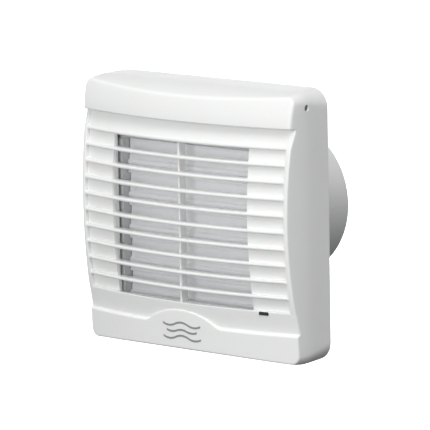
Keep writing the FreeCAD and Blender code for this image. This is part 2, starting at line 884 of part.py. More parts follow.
def badge_mark():
    """Three wavy strokes, a plain sign for moving air, laid on the chin under the arch."""
    strokes = []
    for number in range(3):
        low = dim.mark_low + dim.mark_pitch * number
        reach = dim.mark_half - dim.mark_step * (number % 2)
        high = low + dim.mark_thick
        outline = [
            (-reach, low), Bend(dim.mark_wave), (-reach / 3, low), Bend(-dim.mark_wave), (reach / 3, low),
            Bend(dim.mark_wave), (reach, low), (reach, high), Bend(-dim.mark_wave), (reach / 3, high),
            Bend(dim.mark_wave), (-reach / 3, high), Bend(-dim.mark_wave), (-reach, high),
        ]
        strokes.append(prism("xz", outline, (-dim.bulge, -FORM_BACK)))
    low, high = dim.chin_low_depth, dim.badge_depth
    film = bowed([
        (low, -dim.beyond), (low + dim.mark_proud, -dim.beyond),
        (high + dim.mark_proud, dim.ledge_foot), (high, dim.ledge_foot),
    ])
    return node(group(*[shared(stroke, film) for stroke in strokes]), "badge_mark")


def indicator():
    node(lens_space(dim.lens_proud, dim.lens_deep), "indicator_lens")
    behind = crown(bar_height(dim.bar_count - 1)) - dim.lens_deep - bow_drop(dim.lens_left) + 0.1
    trimmed = cut(
        rod("y", dim.pipe_round, (dim.pipe_x, dim.pipe_z), (-behind, -dim.pipe_end)),
        lens_space(dim.lens_proud, dim.lens_deep + 0.02),
    )
    node(trimmed, "light_pipe")


def cover_screws():
    spots = (
        ((dim.dimple_floor, -dim.dimple_depth, dim.dimple_z), RIGHTWARD),
        ((-dim.dimple_floor, -dim.dimple_depth, dim.dimple_z), LEFTWARD),
    )
    screws = [screw(dim.small_screw, dim.cover_screw_long, spot, turn) for spot, turn in spots]
    node(group(*screws), "cover_screws")


# ---- housing ----

def slab(half, corner, y):
    return rounded(block((-half, half), y, (-half, half)), "y", corner)


def spigot():
    """The duct tube: a flared inlet lip, three shallow grooves near the wall and a plain end."""
    outline = [
        (dim.lip_bore, -dim.lip_depth), (dim.lip_round, -dim.lip_depth), (dim.lip_round, -dim.lip_seat),
        (dim.spigot_round, 0),
    ]
    for number in range(GROOVES):
        low = dim.groove_first + dim.groove_pitch * number
        high = low + dim.groove_wide
        floor = dim.spigot_round - dim.groove_deep
        outline += [
            (dim.spigot_round, low), (floor, low + dim.groove_slope),
            (floor, high - dim.groove_slope), (dim.spigot_round, high),
        ]
    outline += [
        (dim.spigot_round, dim.spigot_long - dim.edge_break),
        (dim.spigot_round - dim.edge_break, dim.spigot_long), (dim.spigot_bore, dim.spigot_long),
        (dim.spigot_bore, -dim.lip_seat), Bend(dim.lip_curve),
    ]
    return turned(outline)


def around(count, start=0.0):
    """Angles of things set evenly around the duct axis."""
    return [start + 360.0 * number / count for number in range(count)]


def on_circle(radius, angle):
    return radius * cosine(angle), radius * sine(angle)


GROOVES = 3
ARM_ANGLES = around(4, 45)
CLAMP_ANGLES = around(3)
FRAME_POSTS = ((40.0, 57.5), (46.0, -69.0))     # distance aside and height
BOARD_POSTS = (-59.6, -75.4)                    # heights
BLADES = 5
EYE_PLAY = 0.02                                 # between a spring's eye and its post


def lamp_posts():
    """Places of the two posts under the indicator's board."""
    inset = dim.lamp_post_inset
    return [(dim.lamp_post_x, up) for up in (dim.lamp_board_low + inset, dim.lamp_board_high - inset)]


def board_posts():
    return [(side * dim.board_post_x, up) for side in (-1, 1) for up in BOARD_POSTS]


def frame_posts():
    return [(side * size_of(across), size_of(up)) for side in (-1, 1) for across, up in FRAME_POSTS]


def cable_clamp_posts():
    return [(dim.grommet_x + side * dim.bridge_screw_x, dim.clamp_z) for side in (-1, 1)]


def strap_posts():
    return [(dim.actuator_x + side * dim.strap_reach, dim.strap_z) for side in (-1, 1)]


def short_posts():
    """Posts moulded on the plate for the boards and the cable clamp, and the anvil under the cable."""
    kinds = (
        (board_posts(), dim.board_post, dim.board_back), (lamp_posts(), dim.lamp_post, dim.board_back),
        (cable_clamp_posts(), dim.clamp_post, dim.bridge_depth),
    )
    floor = -dim.plate + dim.bite
    posts = [rod("y", radius, spot, (-depth, floor)) for spots, radius, depth in kinds for spot in spots]
    posts.append(block(
        (dim.grommet_x - dim.anvil_half, dim.grommet_x + dim.anvil_half), (-dim.anvil_depth, floor),
        (dim.clamp_z - dim.anvil_half / 2, dim.clamp_z + dim.anvil_half / 2),
    ))
    return posts


def short_pilots():
    kinds = (
        (cable_clamp_posts(), dim.large_pilot, dim.bridge_depth),
        (board_posts() + lamp_posts(), dim.small_pilot, dim.board_back),
    )
    floor = -dim.pilot_skin
    return [
        rod("y", radius, spot, (-depth - PAST, floor)) for spots, radius, depth in kinds for spot in spots
    ]


def cover_lugs():
    """Slotted lugs on the tray wall's edge that the two cover screws reach into."""
    lugs = []
    for side in (-1, 1):
        ends = sorted((side * dim.lug_inner, side * dim.lug_outer), key=lambda end: end.number)
        heights = (dim.dimple_z - dim.lug_below, dim.dimple_z + dim.lug_above)
        half = dim.lug_slot
        slot_heights = (dim.dimple_z - half, dim.dimple_z + half)
        slot = block(ends, (-dim.lug_depth - PAST, -dim.dimple_depth + half), slot_heights)
        lugs.append(cut(block(ends, (-dim.lug_depth, -dim.tray_deep), heights), slot))
    return lugs


def actuator_saddle():
    x, y = dim.actuator_x, -dim.actuator_depth
    sides = (x - dim.saddle_half, x + dim.saddle_half)
    cradle = block(sides, (y + dim.saddle_sink, -dim.plate), (dim.saddle_low, dim.saddle_high))
    span = (dim.saddle_low - PAST, dim.saddle_high + PAST)
    return cut(cradle, rod("z", dim.actuator_round + dim.running, (x, y), span))


def supports():
    """What stands on the plate: posts for shutter, strap and spring, the saddle, and the cover's lugs."""
    standing = []
    kinds = (
        (frame_posts(), dim.frame_post, dim.frame_back),
        (strap_posts(), dim.clamp_post, dim.actuator_depth),
    )
    for spots, radius, depth in kinds:
        for spot in spots:
            pilot = rod("y", dim.large_pilot, spot, (-depth - PAST, -dim.pilot_end))
            standing.append(cut(rod("y", radius, spot, (-depth, -dim.plate)), pilot))
    spring_spot = (dim.spring_x, dim.spring_post_z)
    standing.append(rod("y", dim.spring_post, spring_spot, (-dim.spring_post_depth, -dim.plate)))
    node(group(*standing, actuator_saddle(), *cover_lugs()), "support_posts")


def housing():
    """The back plate with its tray wall, its short posts and the seat that the spigot is welded into."""
    inside = dim.tray_half - dim.tray_wall
    tray = cut(
        slab(dim.tray_half, dim.tray_round, (-dim.tray_deep, 0)),
        slab(inside, dim.tray_round - dim.tray_wall, (-dim.tray_deep - PAST, -dim.plate)),
        rod("y", dim.lip_round, (0, 0), (-dim.tray_deep, -dim.lip_seat)),
        rod("y", dim.spigot_bore + PAST, (0, 0), (-dim.tray_deep, PAST)),
        spigot(),
    )
    solid = joined(tray, *short_posts())
    corners = (-dim.wall_hole_place, dim.wall_hole_place)
    through = (-dim.tray_deep, PAST)
    holes = [rod("y", dim.wall_hole, (across, up), through) for across in corners for up in corners]
    cable_hole = rod("y", dim.grommet_hole, (dim.grommet_x, dim.grommet_z), through)
    seal_groove = tube("y", dim.seal_outer, dim.seal_inner, (0, 0), (-dim.seal_thick, PAST))
    node(cut(solid, cable_hole, seal_groove, *holes, *short_pilots()), "housing")
    seal = tube(
        "y", dim.seal_outer - dim.seal_play, dim.seal_inner + dim.seal_play, (0, 0), (-dim.seal_thick, 0)
    )
    node(seal, "wall_seal")


def spigot_tube():
    lead_slot = block(
        (-dim.lead_slot, dim.lead_slot), (-dim.lip_depth - 1, -dim.lead_slot_depth),
        (-dim.lip_round - 1, -dim.spigot_bore + 2),
    )
    node(cut(spigot(), lead_slot), "spigot_tube")


def motor_cradle():
    """The motor's holder on four arms that reach to the spigot's bore, with bosses for the clamp screws."""
    ends = (dim.holder_front, dim.holder_back)
    holder = tube("y", dim.holder_round, dim.holder_bore, (0, 0), ends)
    boss_ends = (dim.holder_back - dim.ear_deep, dim.holder_back)
    spots = [on_circle(dim.clamp_ear, angle) for angle in CLAMP_ANGLES]
    bosses = joined(*[rod("y", dim.ear_round, spot, boss_ends) for spot in spots])
    clear_bosses = cut(bosses, rod("y", dim.holder_bore + 0.5, (0, 0), ends))
    arms = []
    for angle in ARM_ANGLES:
        arm = doc.addObject("Part::Box", "Arm")
        long = dim.spigot_bore - dim.holder_bore
        bind(arm, Length=long, Width=dim.arm_back - dim.arm_front, Height=dim.arm_thick)
        across, up = on_circle(dim.holder_bore + PAST, angle)
        aside, down = on_circle(dim.arm_thick / 2, angle + 90)
        turn = FreeCAD.Rotation(V(0, 1, 0), -angle)
        arms.append(place(arm, across - aside, dim.arm_front, up - down, turn))
    pilot_ends = (dim.holder_back - dim.ear_pilot, dim.holder_back + PAST)
    pilots = [rod("y", dim.small_pilot, spot, pilot_ends) for spot in spots]
    outside = tube("y", dim.spigot_bore + 10, dim.spigot_bore, (0, 0), ends)
    node(cut(joined(holder, clear_bosses, *arms), outside, *pilots), "motor_cradle")


# ---- motor and impeller ----

def motor_case():
    inner = dim.can_round - dim.can_skin
    seat = dim.bearing_round
    back = dim.can_back
    collar = seat + dim.can_collar
    can = turned([
        (dim.can_round, dim.can_front), (dim.can_round, back - 1), (dim.can_round - 1, back), (0, back),
        (0, back - dim.can_skin), (seat, back - dim.can_skin), (seat, back - dim.bearing_long),
        (collar, back - dim.bearing_long), (collar, back - dim.can_skin), (inner, back - dim.can_skin),
        (inner, dim.can_front),
    ])
    node(can, "motor_can")
    front = dim.cap_front
    collar = seat + dim.cap_collar
    cap = turned([
        (seat, front - 1), (collar, front - 1), (collar, front), (dim.can_round - 1, front),
        (dim.can_round, front + 1), (dim.can_round, dim.can_front), (inner, dim.can_front),
        (inner, dim.can_front + dim.cap_spigot), (inner - 1, dim.can_front + dim.cap_spigot),
        (inner - 1, dim.can_front), (collar, dim.can_front), (collar, front - 1 + dim.bearing_long),
        (seat, front - 1 + dim.bearing_long),
    ])
    node(cap, "motor_end_cap")
    bore = dim.shaft_round + dim.running
    node(tube("y", seat, bore, (0, 0), (front - 1, front - 1 + dim.bearing_long)), "bearing_front")
    node(tube("y", seat, bore, (0, 0), (back - dim.bearing_long, back - dim.can_skin)), "bearing_rear")


def motor_core():
    core = (dim.core_front, dim.core_back)
    tooth_gap = (-dim.core_slot, dim.core_slot)
    heights = (dim.core_bore - PAST, dim.core_slot_top)
    slots = [
        place(block(tooth_gap, core, heights), turn=FreeCAD.Rotation(V(0, 1, 0), angle))
        for angle in around(6)
    ]
    ring = tube("y", dim.can_round - dim.can_skin - 0.1, dim.core_bore, (0, 0), core)
    node(cut(ring, *slots), "stator_core")
    spans = ((dim.coil_front, dim.core_front), (dim.core_back, dim.coil_back))
    node(group(*[tube("y", dim.coil_round, dim.coil_bore, (0, 0), span) for span in spans]), "motor_coils")
    past = dim.rotor_past
    node(tube("y", dim.rotor_round, dim.shaft_round, (0, 0), (core[0] - past, core[1] + past)), "rotor_core")


def motor_holding():
    """The rubber rings round the motor, and the clamp ring with its screws."""
    bushes = []
    for start in (dim.holder_front + 1, dim.holder_back - 1 - dim.bush_wide):
        bushes.append(tube("y", dim.holder_bore, dim.can_round, (0, 0), (start, start + dim.bush_wide)))
    node(group(*bushes), "motor_bushes")
    ends = (dim.holder_back, dim.holder_back + dim.clamp_thick)
    through = (ends[0] - 1, ends[1] + 1)
    spots = [on_circle(dim.clamp_ear, angle) for angle in CLAMP_ANGLES]
    ears = [rod("y", dim.ear_round, spot, ends) for spot in spots]
    plate = joined(rod("y", dim.holder_round, (0, 0), ends), *ears)
    openings = [rod("y", dim.can_round + dim.clamp_play, (0, 0), through)]
    openings += [rod("y", dim.small_hole, spot, through) for spot in spots]
    node(cut(plate, *openings), "motor_clamp")
    screws = [
        screw(dim.small_screw, dim.clamp_screw_long, (across, ends[1], up), FreeCAD.Rotation(V(1, 0, 0), -90))
        for across, up in spots
    ]
    node(group(*screws), "motor_clamp_screws")


# Radius, chord and pitch of a fan vane's sections, from its root to its tip.
VANE_SECTIONS = ((15.5, 17.0, 50.0), (29.0, 21.0, 35.0), (41.9, 24.0, 24.0))


def vane_section(chord, pitch):
    """A fan vane's flat section, pitched towards the duct axis."""
    along = (sine(pitch) * (chord / 2), cosine(pitch) * (chord / 2))
    over = (cosine(pitch) * dim.vane_half, -sine(pitch) * dim.vane_half)
    corners = []
    for lengthwise, outward in ((-1, -1), (1, -1), (1, 1), (-1, 1)):
        y = dim.fan_mid_y + along[0] * lengthwise + over[0] * outward
        z = along[1] * lengthwise + over[1] * outward
        corners.append((y, z))
    return corners


def impeller():
    body = doc.addObject("PartDesign::Body", "Impeller")
    inner = dim.hub_round - dim.hub_skin
    sleeve = dim.sleeve_round
    floor = dim.hub_front + dim.hub_skin
    end = dim.hub_back - dim.hub_skin
    hub = [
        (dim.shaft_round, dim.hub_front), (dim.nose_flat, dim.hub_front), Bend(dim.nose_round),
        (dim.hub_round, dim.hub_front + dim.nose_deep), (dim.hub_round, dim.hub_back), (inner, dim.hub_back),
        (inner, dim.hub_front + dim.nose_deep + 1), (dim.nose_flat, floor), (sleeve, floor), (sleeve, end),
        (dim.shaft_round, end),
    ]
    turned_feature(body, "Revolution", attached(body, "XY_Plane", hub))
    sketches = [
        attached(body, "YZ_Plane", vane_section(chord, pitch), radius)
        for radius, chord, pitch in VANE_SECTIONS
    ]
    vane = body.newObject("PartDesign::AdditiveLoft", "Vane")
    vane.Profile = sketches[0]
    vane.Sections = sketches[1:]
    doc.recompute()
    vanes = body.newObject("PartDesign::PolarPattern", "Vanes")
    vanes.Originals = [vane]
    vanes.Axis = (next(item for item in body.Origin.OriginFeatures if item.Role == "Y_Axis"), [""])
    vanes.Angle = 360
    bind(vanes, Occurrences=dim.fan_blades)
    body.Tip = vanes
    node(body, "impeller")


def shaft():
    chamfer = dim.shaft_chamfer
    spindle = turned([
        (0, dim.shaft_front), (dim.shaft_round - chamfer, dim.shaft_front),
        (dim.shaft_round, dim.shaft_front + chamfer), (dim.shaft_round, dim.shaft_back), (0, dim.shaft_back),
    ])
    node(spindle, "motor_shaft")
    clip = tube("y", dim.clip_round, dim.shaft_round, (0, 0), (dim.hub_front - dim.clip_thick, dim.hub_front))
    half = dim.clip_mouth
    mouth = block((-half, half), (dim.hub_front - dim.clip_thick, dim.hub_front), (0, dim.clip_round + 1))
    node(cut(clip, mouth), "impeller_clip")


# ---- shutter ----

def pivot_height(number):
    return dim.blade_top_pivot - dim.blade_pitch * number


def crank_offset():
    """The crank pin's place from its blade's axle while the shutter is closed: back and up."""
    return dim.crank_arm * cosine(dim.crank_swing), dim.crank_arm * sine(dim.crank_swing)


def shutter_frame():
    low, high = dim.frame_low, dim.frame_top
    front, back = -dim.frame_front, -dim.frame_back
    outside = block((-dim.frame_outer, dim.frame_outer), (front, back), (low, high))
    inside = block(
        (-dim.frame_inner, dim.frame_inner), (front - 1, back + 1), (dim.frame_low_inner, dim.frame_top_inner)
    )
    trim = [
        block((-dim.beyond, dim.beyond), (front - 1, -dim.frame_end_front), edge)
        for edge in ((low - 1, dim.frame_low_inner + 1), (dim.frame_top_inner - 1, high + 1))
    ]
    holes = [
        rod("x", dim.axle_round + dim.running, (-dim.pivot_depth, pivot_height(number)),
            (-dim.frame_outer - 1, dim.frame_outer + 1)) for number in range(BLADES)
    ]
    lugs = []
    seat = -dim.frame_lug_front
    for across, up in frame_posts():
        edge = (high - 1, up) if up.number > 0 else (up, low + 1)
        lugs.append(block((across - dim.frame_lug, across + dim.frame_lug), (seat, back), edge))
        lugs.append(rod("y", dim.frame_lug, (across, up), (seat, back)))
        holes.append(rod("y", dim.large_hole, (across, up), (seat - 1, back + 1)))
    node(cut(joined(cut(outside, inside, *trim), *lugs), *holes), "shutter_frame")
    screws = [
        screw(dim.large_screw, dim.frame_screw_long, (across, seat, up), ROOMWARD)
        for across, up in frame_posts()
    ]
    node(group(*screws), "shutter_screws")


def shutter_blade(number):
    """A louvre blade on its axle. It leans so that its lower edge laps in front of the next blade."""
    half = dim.blade_thick / 2
    across = (-dim.blade_half, dim.blade_half)
    plate = block(across, (-half, half), (-dim.blade_down, dim.blade_up))
    bead = rod("x", dim.bead_round, (0, 0), across)
    lip = block(across, (-half - dim.lip_proud, half), (-dim.blade_down, -dim.blade_down + dim.lip_tall))
    stubs = rod("x", dim.axle_round, (0, 0), (-dim.frame_outer - dim.stub_past, dim.crank_right))
    blade = joined(plate, bead, lip, stubs)
    turn = FreeCAD.Rotation(V(1, 0, 0), DRIVING["blade_tilt"])
    place(blade, 0, -dim.pivot_depth, pivot_height(number), turn)
    node(blade, f"shutter_blade_{number + 1}")


def crank(number):
    """The crank on a blade's right-hand stub, with the pin that the link bar hangs on."""
    span = (dim.crank_left, dim.crank_right)
    solid = joined(
        rod("x", dim.crank_hub, (0, 0), span), rod("x", dim.crank_eye, (dim.crank_arm, 0), span),
        block(span, (0, dim.crank_arm), (-dim.crank_web, dim.crank_web)),
        rod("x", dim.pin_round, (dim.crank_arm, 0), (dim.crank_left, dim.pin_end)),
    )
    arm = cut(solid, rod("x", dim.axle_round, (0, 0), span))
    turn = FreeCAD.Rotation(V(1, 0, 0), DRIVING["crank_swing"])
    place(arm, 0, -dim.pivot_depth, pivot_height(number), turn)
    node(arm, f"crank_{number + 1}")


def link_bar():
    back, up = crank_offset()
    y = -dim.pivot_depth + back
    half = dim.link_wide / 2
    root_x = dim.link_left + dim.pin_sink
    bar_body = block((dim.link_left, dim.link_right), (y - half, y + half), (dim.link_low, dim.link_high))
    holes = []
    for number in range(BLADES):
        play = dim.running if number == 0 else dim.link_hole_play
        centre = (y, pivot_height(number) + up)
        holes.append(rod("x", dim.pin_round + play, centre, (dim.link_left - 1, dim.link_right + 1)))
    drive = rod("x", dim.pin_round, (y, dim.drive_pin_z), (root_x, dim.drive_pin_end))
    peg = rod("x", dim.spring_peg, (y, dim.spring_peg_z), (root_x, dim.spring_x + dim.peg_past))
    node(cut(joined(bar_body, drive, peg), *holes), "link_bar")


def actuator():
    x, y = dim.actuator_x, -dim.actuator_depth
    gland = block(
        (dim.gland_left, dim.gland_right), (-dim.gland_front, -dim.gland_back),
        (dim.actuator_low, dim.gland_high),
    )
    shell = joined(rod("z", dim.actuator_round, (x, y), (dim.actuator_low, dim.actuator_high)), gland)
    bore = rod("z", dim.rod_round + dim.running, (x, y), (dim.actuator_low - 1, dim.rod_top + 1))
    node(cut(shell, bore), "actuator_body")
    pin_y = -dim.pivot_depth + crank_offset()[0]
    fork = block(
        (dim.fork_left, dim.fork_right), (y - dim.fork_half, y + dim.fork_half),
        (dim.fork_low, dim.fork_high),
    )
    half = dim.fork_slot / 2
    slot = block(
        (dim.fork_left - 1, dim.fork_right + 1), (pin_y - dim.slot_front, pin_y + dim.slot_back),
        (dim.drive_pin_z - half, dim.drive_pin_z + half),
    )
    stem = rod("z", dim.rod_round, (x, y), (dim.fork_high - 1, dim.rod_top))
    node(cut(joined(fork, stem), slot), "actuator_plunger")


def actuator_strap():
    """A bent strap over the actuator, screwed down at both sides."""
    x, y = dim.actuator_x, -dim.actuator_depth
    span = (dim.strap_low, dim.strap_high)
    reach = dim.strap_half
    ring = tube("z", dim.actuator_round + dim.strap_thick, dim.actuator_round, (x, y), span)
    front = block((x - reach, x + reach), (y - reach, y), span)
    ears = cut(
        block((x - reach, x + reach), (y - dim.strap_foot, y), span),
        rod("z", dim.actuator_round, (x, y), span),
    )
    holes = [rod("y", dim.large_hole, spot, (y - dim.strap_foot - 1, y + 1)) for spot in strap_posts()]
    node(cut(joined(shared(ring, front), ears), *holes), "actuator_strap")
    screws = [
        screw(dim.large_screw, dim.strap_screw_long, (across, y - dim.strap_foot, up), ROOMWARD)
        for across, up in strap_posts()
    ]
    node(group(*screws), "strap_screws")


def return_spring():
    """An extension spring between the housing's post and the link bar's peg, with an eye at each end."""
    back, _ = crank_offset()
    x = dim.spring_x.number
    y = (-dim.pivot_depth + back).number
    wire = dim.spring_wire.number
    radius = dim.spring_round.number
    top = dim.spring_high.number
    foot = dim.spring_low.number
    post = dim.spring_post_z.number
    peg = dim.spring_peg_z.number
    helix = Part.makeHelix((top - foot) / dim.spring_turns.number, top - foot, radius)
    helix.translate(V(x, y, foot))
    section = Part.Wire([Part.makeCircle(wire, V(x + radius, y, foot), V(0, 1, 0))])
    coil = Part.Wire(helix.Edges).makePipeShell([section], True, True)
    post_eye = (dim.spring_post + dim.spring_wire).number + EYE_PLAY
    peg_eye = (dim.spring_peg + dim.spring_wire).number + EYE_PLAY
    pieces = [
        Part.makeTorus(post_eye, wire, V(x, y, post), V(0, 1, 0)),
        Part.makeTorus(peg_eye, wire, V(x, y, peg), V(1, 0, 0)),
        Part.makeCylinder(wire, post - post_eye - top, V(x, y, top)),
        Part.makeCylinder(wire, foot - peg - peg_eye, V(x, y, peg + peg_eye)),
    ]
    for height in (top, foot):
        pieces.append(Part.makeCylinder(wire * 0.9, radius, V(x, y, height), V(1, 0, 0)))
        pieces.append(Part.makeSphere(wire * 1.15, V(x + radius, y, height)))
        pieces.append(Part.makeSphere(wire * 1.1, V(x, y, height)))
    thing = doc.addObject("Part::Feature", "Spring")
    thing.Shape = coil.fuse(pieces)
    thing.Placement = FreeCAD.Placement()
    node(thing, "return_spring")


# ---- electrics ----

def board_front():
    return -dim.board_back - dim.board_thick


def boards():
    front = board_front()
    deep = (front, -dim.board_back)
    main = block((-dim.board_half, dim.board_half), deep, (dim.board_low, dim.board_high))
    holes = [rod("y", dim.small_hole, spot, (front - 1, 0)) for spot in board_posts()]
    node(cut(main, *holes), "control_board")
    lamp = block((dim.lamp_board_left, dim.lamp_board_right), deep, (dim.lamp_board_low, dim.lamp_board_high))
    holes = [rod("y", dim.small_hole, spot, (front - 1, 0)) for spot in lamp_posts()]
    node(cut(lamp, *holes), "lamp_board")
    screws = [
        screw(dim.small_screw, dim.board_screw_long, (across, front, up), ROOMWARD)
        for across, up in board_posts() + lamp_posts()
    ]
    node(group(*screws), "board_screws")


def indicator_led():
    """A small domed lamp standing on its board."""
    front = board_front()
    skirt = front - dim.led_skirt
    shoulder = front - dim.led_tall + dim.led_round
    led = turned([
        (0, front - dim.led_tall), Bend(dim.led_round), (dim.led_round, shoulder), (dim.led_round, skirt),
        (dim.led_flange, skirt), (dim.led_flange, front), (0, front),
    ], dim.pipe_x, dim.pipe_z)
    node(led, "indicator_led")


def terminal_block():
    """A three-way rising-clamp block on the left of the board."""
    front = board_front()
    left, low, pitch = dim.terminal_left, dim.terminal_low, dim.terminal_pitch
    screw_z = low + dim.terminal_screw_up
    cage = (front - dim.cage_front, front - dim.cage_back)
    half = dim.cage_half
    skin = dim.cage_skin
    tools, screws, cages = [], [], []
    for number in range(3):
        middle = left + pitch * (number + 0.5)
        sides = (middle - half, middle + half)
        tools.append(rod("y", dim.terminal_hole, (middle, screw_z), (front - dim.terminal_deep - 1, cage[1])))
        tools.append(block(sides, cage, (low - 1, low + dim.cage_high)))
        head = rod("y", dim.terminal_head, (middle, screw_z), (cage[0] - dim.terminal_head_tall, cage[0]))
        slot = block(sides, (cage[0] - dim.terminal_head_tall - 1, cage[0] - dim.terminal_slot_floor),
                     (screw_z - dim.terminal_slot, screw_z + dim.terminal_slot))
        screws.append(cut(head, slot))
        cages.append(cut(
            block(sides, cage, (low + dim.cage_low, low + dim.cage_high)),
            block((sides[0] + skin, sides[1] - skin), (cage[0] + skin, cage[1] - skin),
                  (low + dim.cage_low - 1, low + dim.cage_high + 1)),
        ))
    body = block((left, left + 3 * pitch), (front - dim.terminal_deep, front), (low, low + dim.terminal_tall))
    node(cut(body, *tools), "terminal_block")
    node(group(*cages), "terminal_cages")
    node(group(*screws), "terminal_screws")


# Cased parts on the board: across, up, how tall each stands, and the radius of its upright edges.
CASED_PARTS = {
    "dropper_capacitor": ((-3.0, 9.0), (-75.5, -69.5), 11.0, 0.8),
    "relay": ((12.5, 20.5), (-77.0, -62.0), 10.0, 0.6),
}


def cased_parts():
    front = board_front()
    for label, (across, up, tall, edge) in CASED_PARTS.items():
        node(rounded(block(across, (front - tall, front), up), "y", edge), label)


def timer():
    """A square trimmer with a slotted knob in its round well."""
    front = board_front()
    x, z, half = dim.timer_x, dim.timer_z, dim.timer_half
    well = front - dim.timer_floor
    case = block((x - half, x + half), (front - dim.timer_tall, front), (z - half, z + half))
    recess = rod("y", dim.knob_round + dim.knob_play, (x, z), (front - dim.knob_tall, well))
    node(cut(case, recess), "timer_pot")
    knob = rod("y", dim.knob_round, (x, z), (front - dim.knob_tall, well))
    reach = dim.knob_slot_long
    slot = block((x - reach, x + reach), (front - dim.knob_tall - 1, front - dim.timer_tall),
                 (z - dim.knob_slot, z + dim.knob_slot))
    node(cut(knob, slot), "timer_knob")


def cable_entry():
    hole = dim.grommet_hole - dim.grommet_play
    inside, outside = -dim.grommet_inside, -dim.grommet_outside
    ring = turned([
        (dim.grommet_bore, outside), (dim.grommet_bore, inside),
        (dim.grommet_flange - dim.grommet_slope, inside),
        (dim.grommet_flange, inside + dim.grommet_slope), (dim.grommet_flange, -dim.plate),
        (hole, -dim.plate),
        (hole, outside),
    ], dim.grommet_x, dim.grommet_z)
    node(ring, "cable_grommet")
    x, z = dim.grommet_x, dim.clamp_z
    back, front = -dim.bridge_depth, -dim.bridge_depth - dim.bridge_thick
    tall = dim.bridge_tall
    bridge = rounded(
        block((x - dim.bridge_half, x + dim.bridge_half), (front, back), (z - tall, z + tall)),
        "y", dim.bridge_corner,
    )
    saddle = rod("z", dim.cable_groove, (x, back + dim.cable_groove_sink), (z - tall - 1, z + tall + 1))
    holes = [rod("y", dim.large_hole, spot, (front - 1, back + 1)) for spot in cable_clamp_posts()]
    node(cut(bridge, saddle, *holes), "cable_clamp")
    screws = [
        screw(dim.large_screw, dim.bridge_screw_long, (across, front, up), ROOMWARD)
        for across, up in cable_clamp_posts()
    ]
    node(group(*screws), "cable_clamp_screws")


LEAD_TOLERANCE = 0.01                           # share of its volume that a swept lead may be out by


def lead(route, bends, label):
    """A round lead along straight runs joined by tangent arcs."""
    points = [V(*[size_of(value).number for value in point]) for point in route]
    edges = []
    start = points[0]
    for before, corner, after, bend in zip(points, points[1:], points[2:], bends):
        arrive = (corner - before).normalize()
        leave = (after - corner).normalize()
        half_turn = arrive.getAngle(leave) / 2
        setback = bend * math.tan(half_turn)
        entry = corner - arrive * setback
        exit_point = corner + leave * setback
        towards = (leave - arrive).normalize()
        middle = corner + towards * (bend / math.cos(half_turn) - bend)
        edges += [Part.LineSegment(start, entry).toShape(), Part.Arc(entry, middle, exit_point).toShape()]
        start = exit_point
    edges.append(Part.LineSegment(start, points[-1]).toShape())
    path = Part.Wire(edges)
    radius = dim.lead_round.number
    ring = Part.Wire([Part.makeCircle(radius, points[0], (points[1] - points[0]).normalize())])
    shape = path.makePipeShell([ring], True, True)
    wanted = math.pi * radius ** 2 * path.Length
    if abs(shape.Volume - wanted) > wanted * LEAD_TOLERANCE:
        raise ValueError(f"{label}: volume {shape.Volume:.1f}, expected {wanted:.1f}")
    thing = doc.addObject("Part::Feature", "Lead")
    thing.Shape = shape
    thing.Placement = FreeCAD.Placement()
    node(thing, label)


def leads():
    y = -dim.lead_depth
    inside = -dim.spigot_bore + dim.lead_round + dim.lead_play
    edge = dim.board_half
    lead([(0, y, dim.board_high), (0, y, inside), (0, dim.lead_back, inside),
          (0, dim.lead_back, -dim.can_round)],
         (3.0, 5.0), "motor_lead")
    lead([(edge, y, dim.feed_z), (dim.feed_x, y, dim.feed_z), (dim.feed_x, y, dim.feed_top),
          (dim.gland_right, y, dim.feed_top)], (3.5, 2.5), "actuator_lead")
    lead([(edge, y, dim.lamp_feed_z), (dim.lamp_board_left, y, dim.lamp_feed_z)], (), "lamp_lead")


def build():
    front_cover()
    badge_mark()
    indicator()
    cover_screws()
    housing()
    supports()
    spigot_tube()
    motor_cradle()
    motor_case()
    motor_core()
    motor_holding()
    impeller()
    shaft()
    shutter_frame()
    for number in range(BLADES):
        shutter_blade(number)
        crank(number)
    link_bar()
    actuator()
    actuator_strap()
    return_spring()
    boards()
    indicator_led()
    terminal_block()
    cased_parts()
    timer()
    cable_entry()
    leads()
    doc.recompute()


def check():
    for thing in doc.Objects:
        if "Invalid" in thing.State or "Error" in thing.State:
            raise ValueError(f"{thing.Name} ({thing.Label}) failed: {thing.State}")
    for thing in nodes:
        shape = thing.Shape
        if shape.isNull() or not shape.isValid() or not shape.Solids:
            raise ValueError(f"{thing.Label} has no valid solid")
        box = shape.BoundBox
        print(f"{thing.Label:22s} solids {len(shape.Solids):2d} volume {shape.Volume:10.1f} "
              f"x {box.XMin:7.1f} {box.XMax:7.1f} y {box.YMin:7.1f} {box.YMax:7.1f} "
              f"z {box.ZMin:7.1f} {box.ZMax:7.1f}")


def write():
    os.makedirs("parts", exist_ok=True)
    for thing in nodes:
        thing.Shape.exportStep(f"parts/{thing.Label}.step")


build()
check()
write()
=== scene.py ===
import json
import math

import bmesh
import bpy
from mathutils import Matrix, Vector


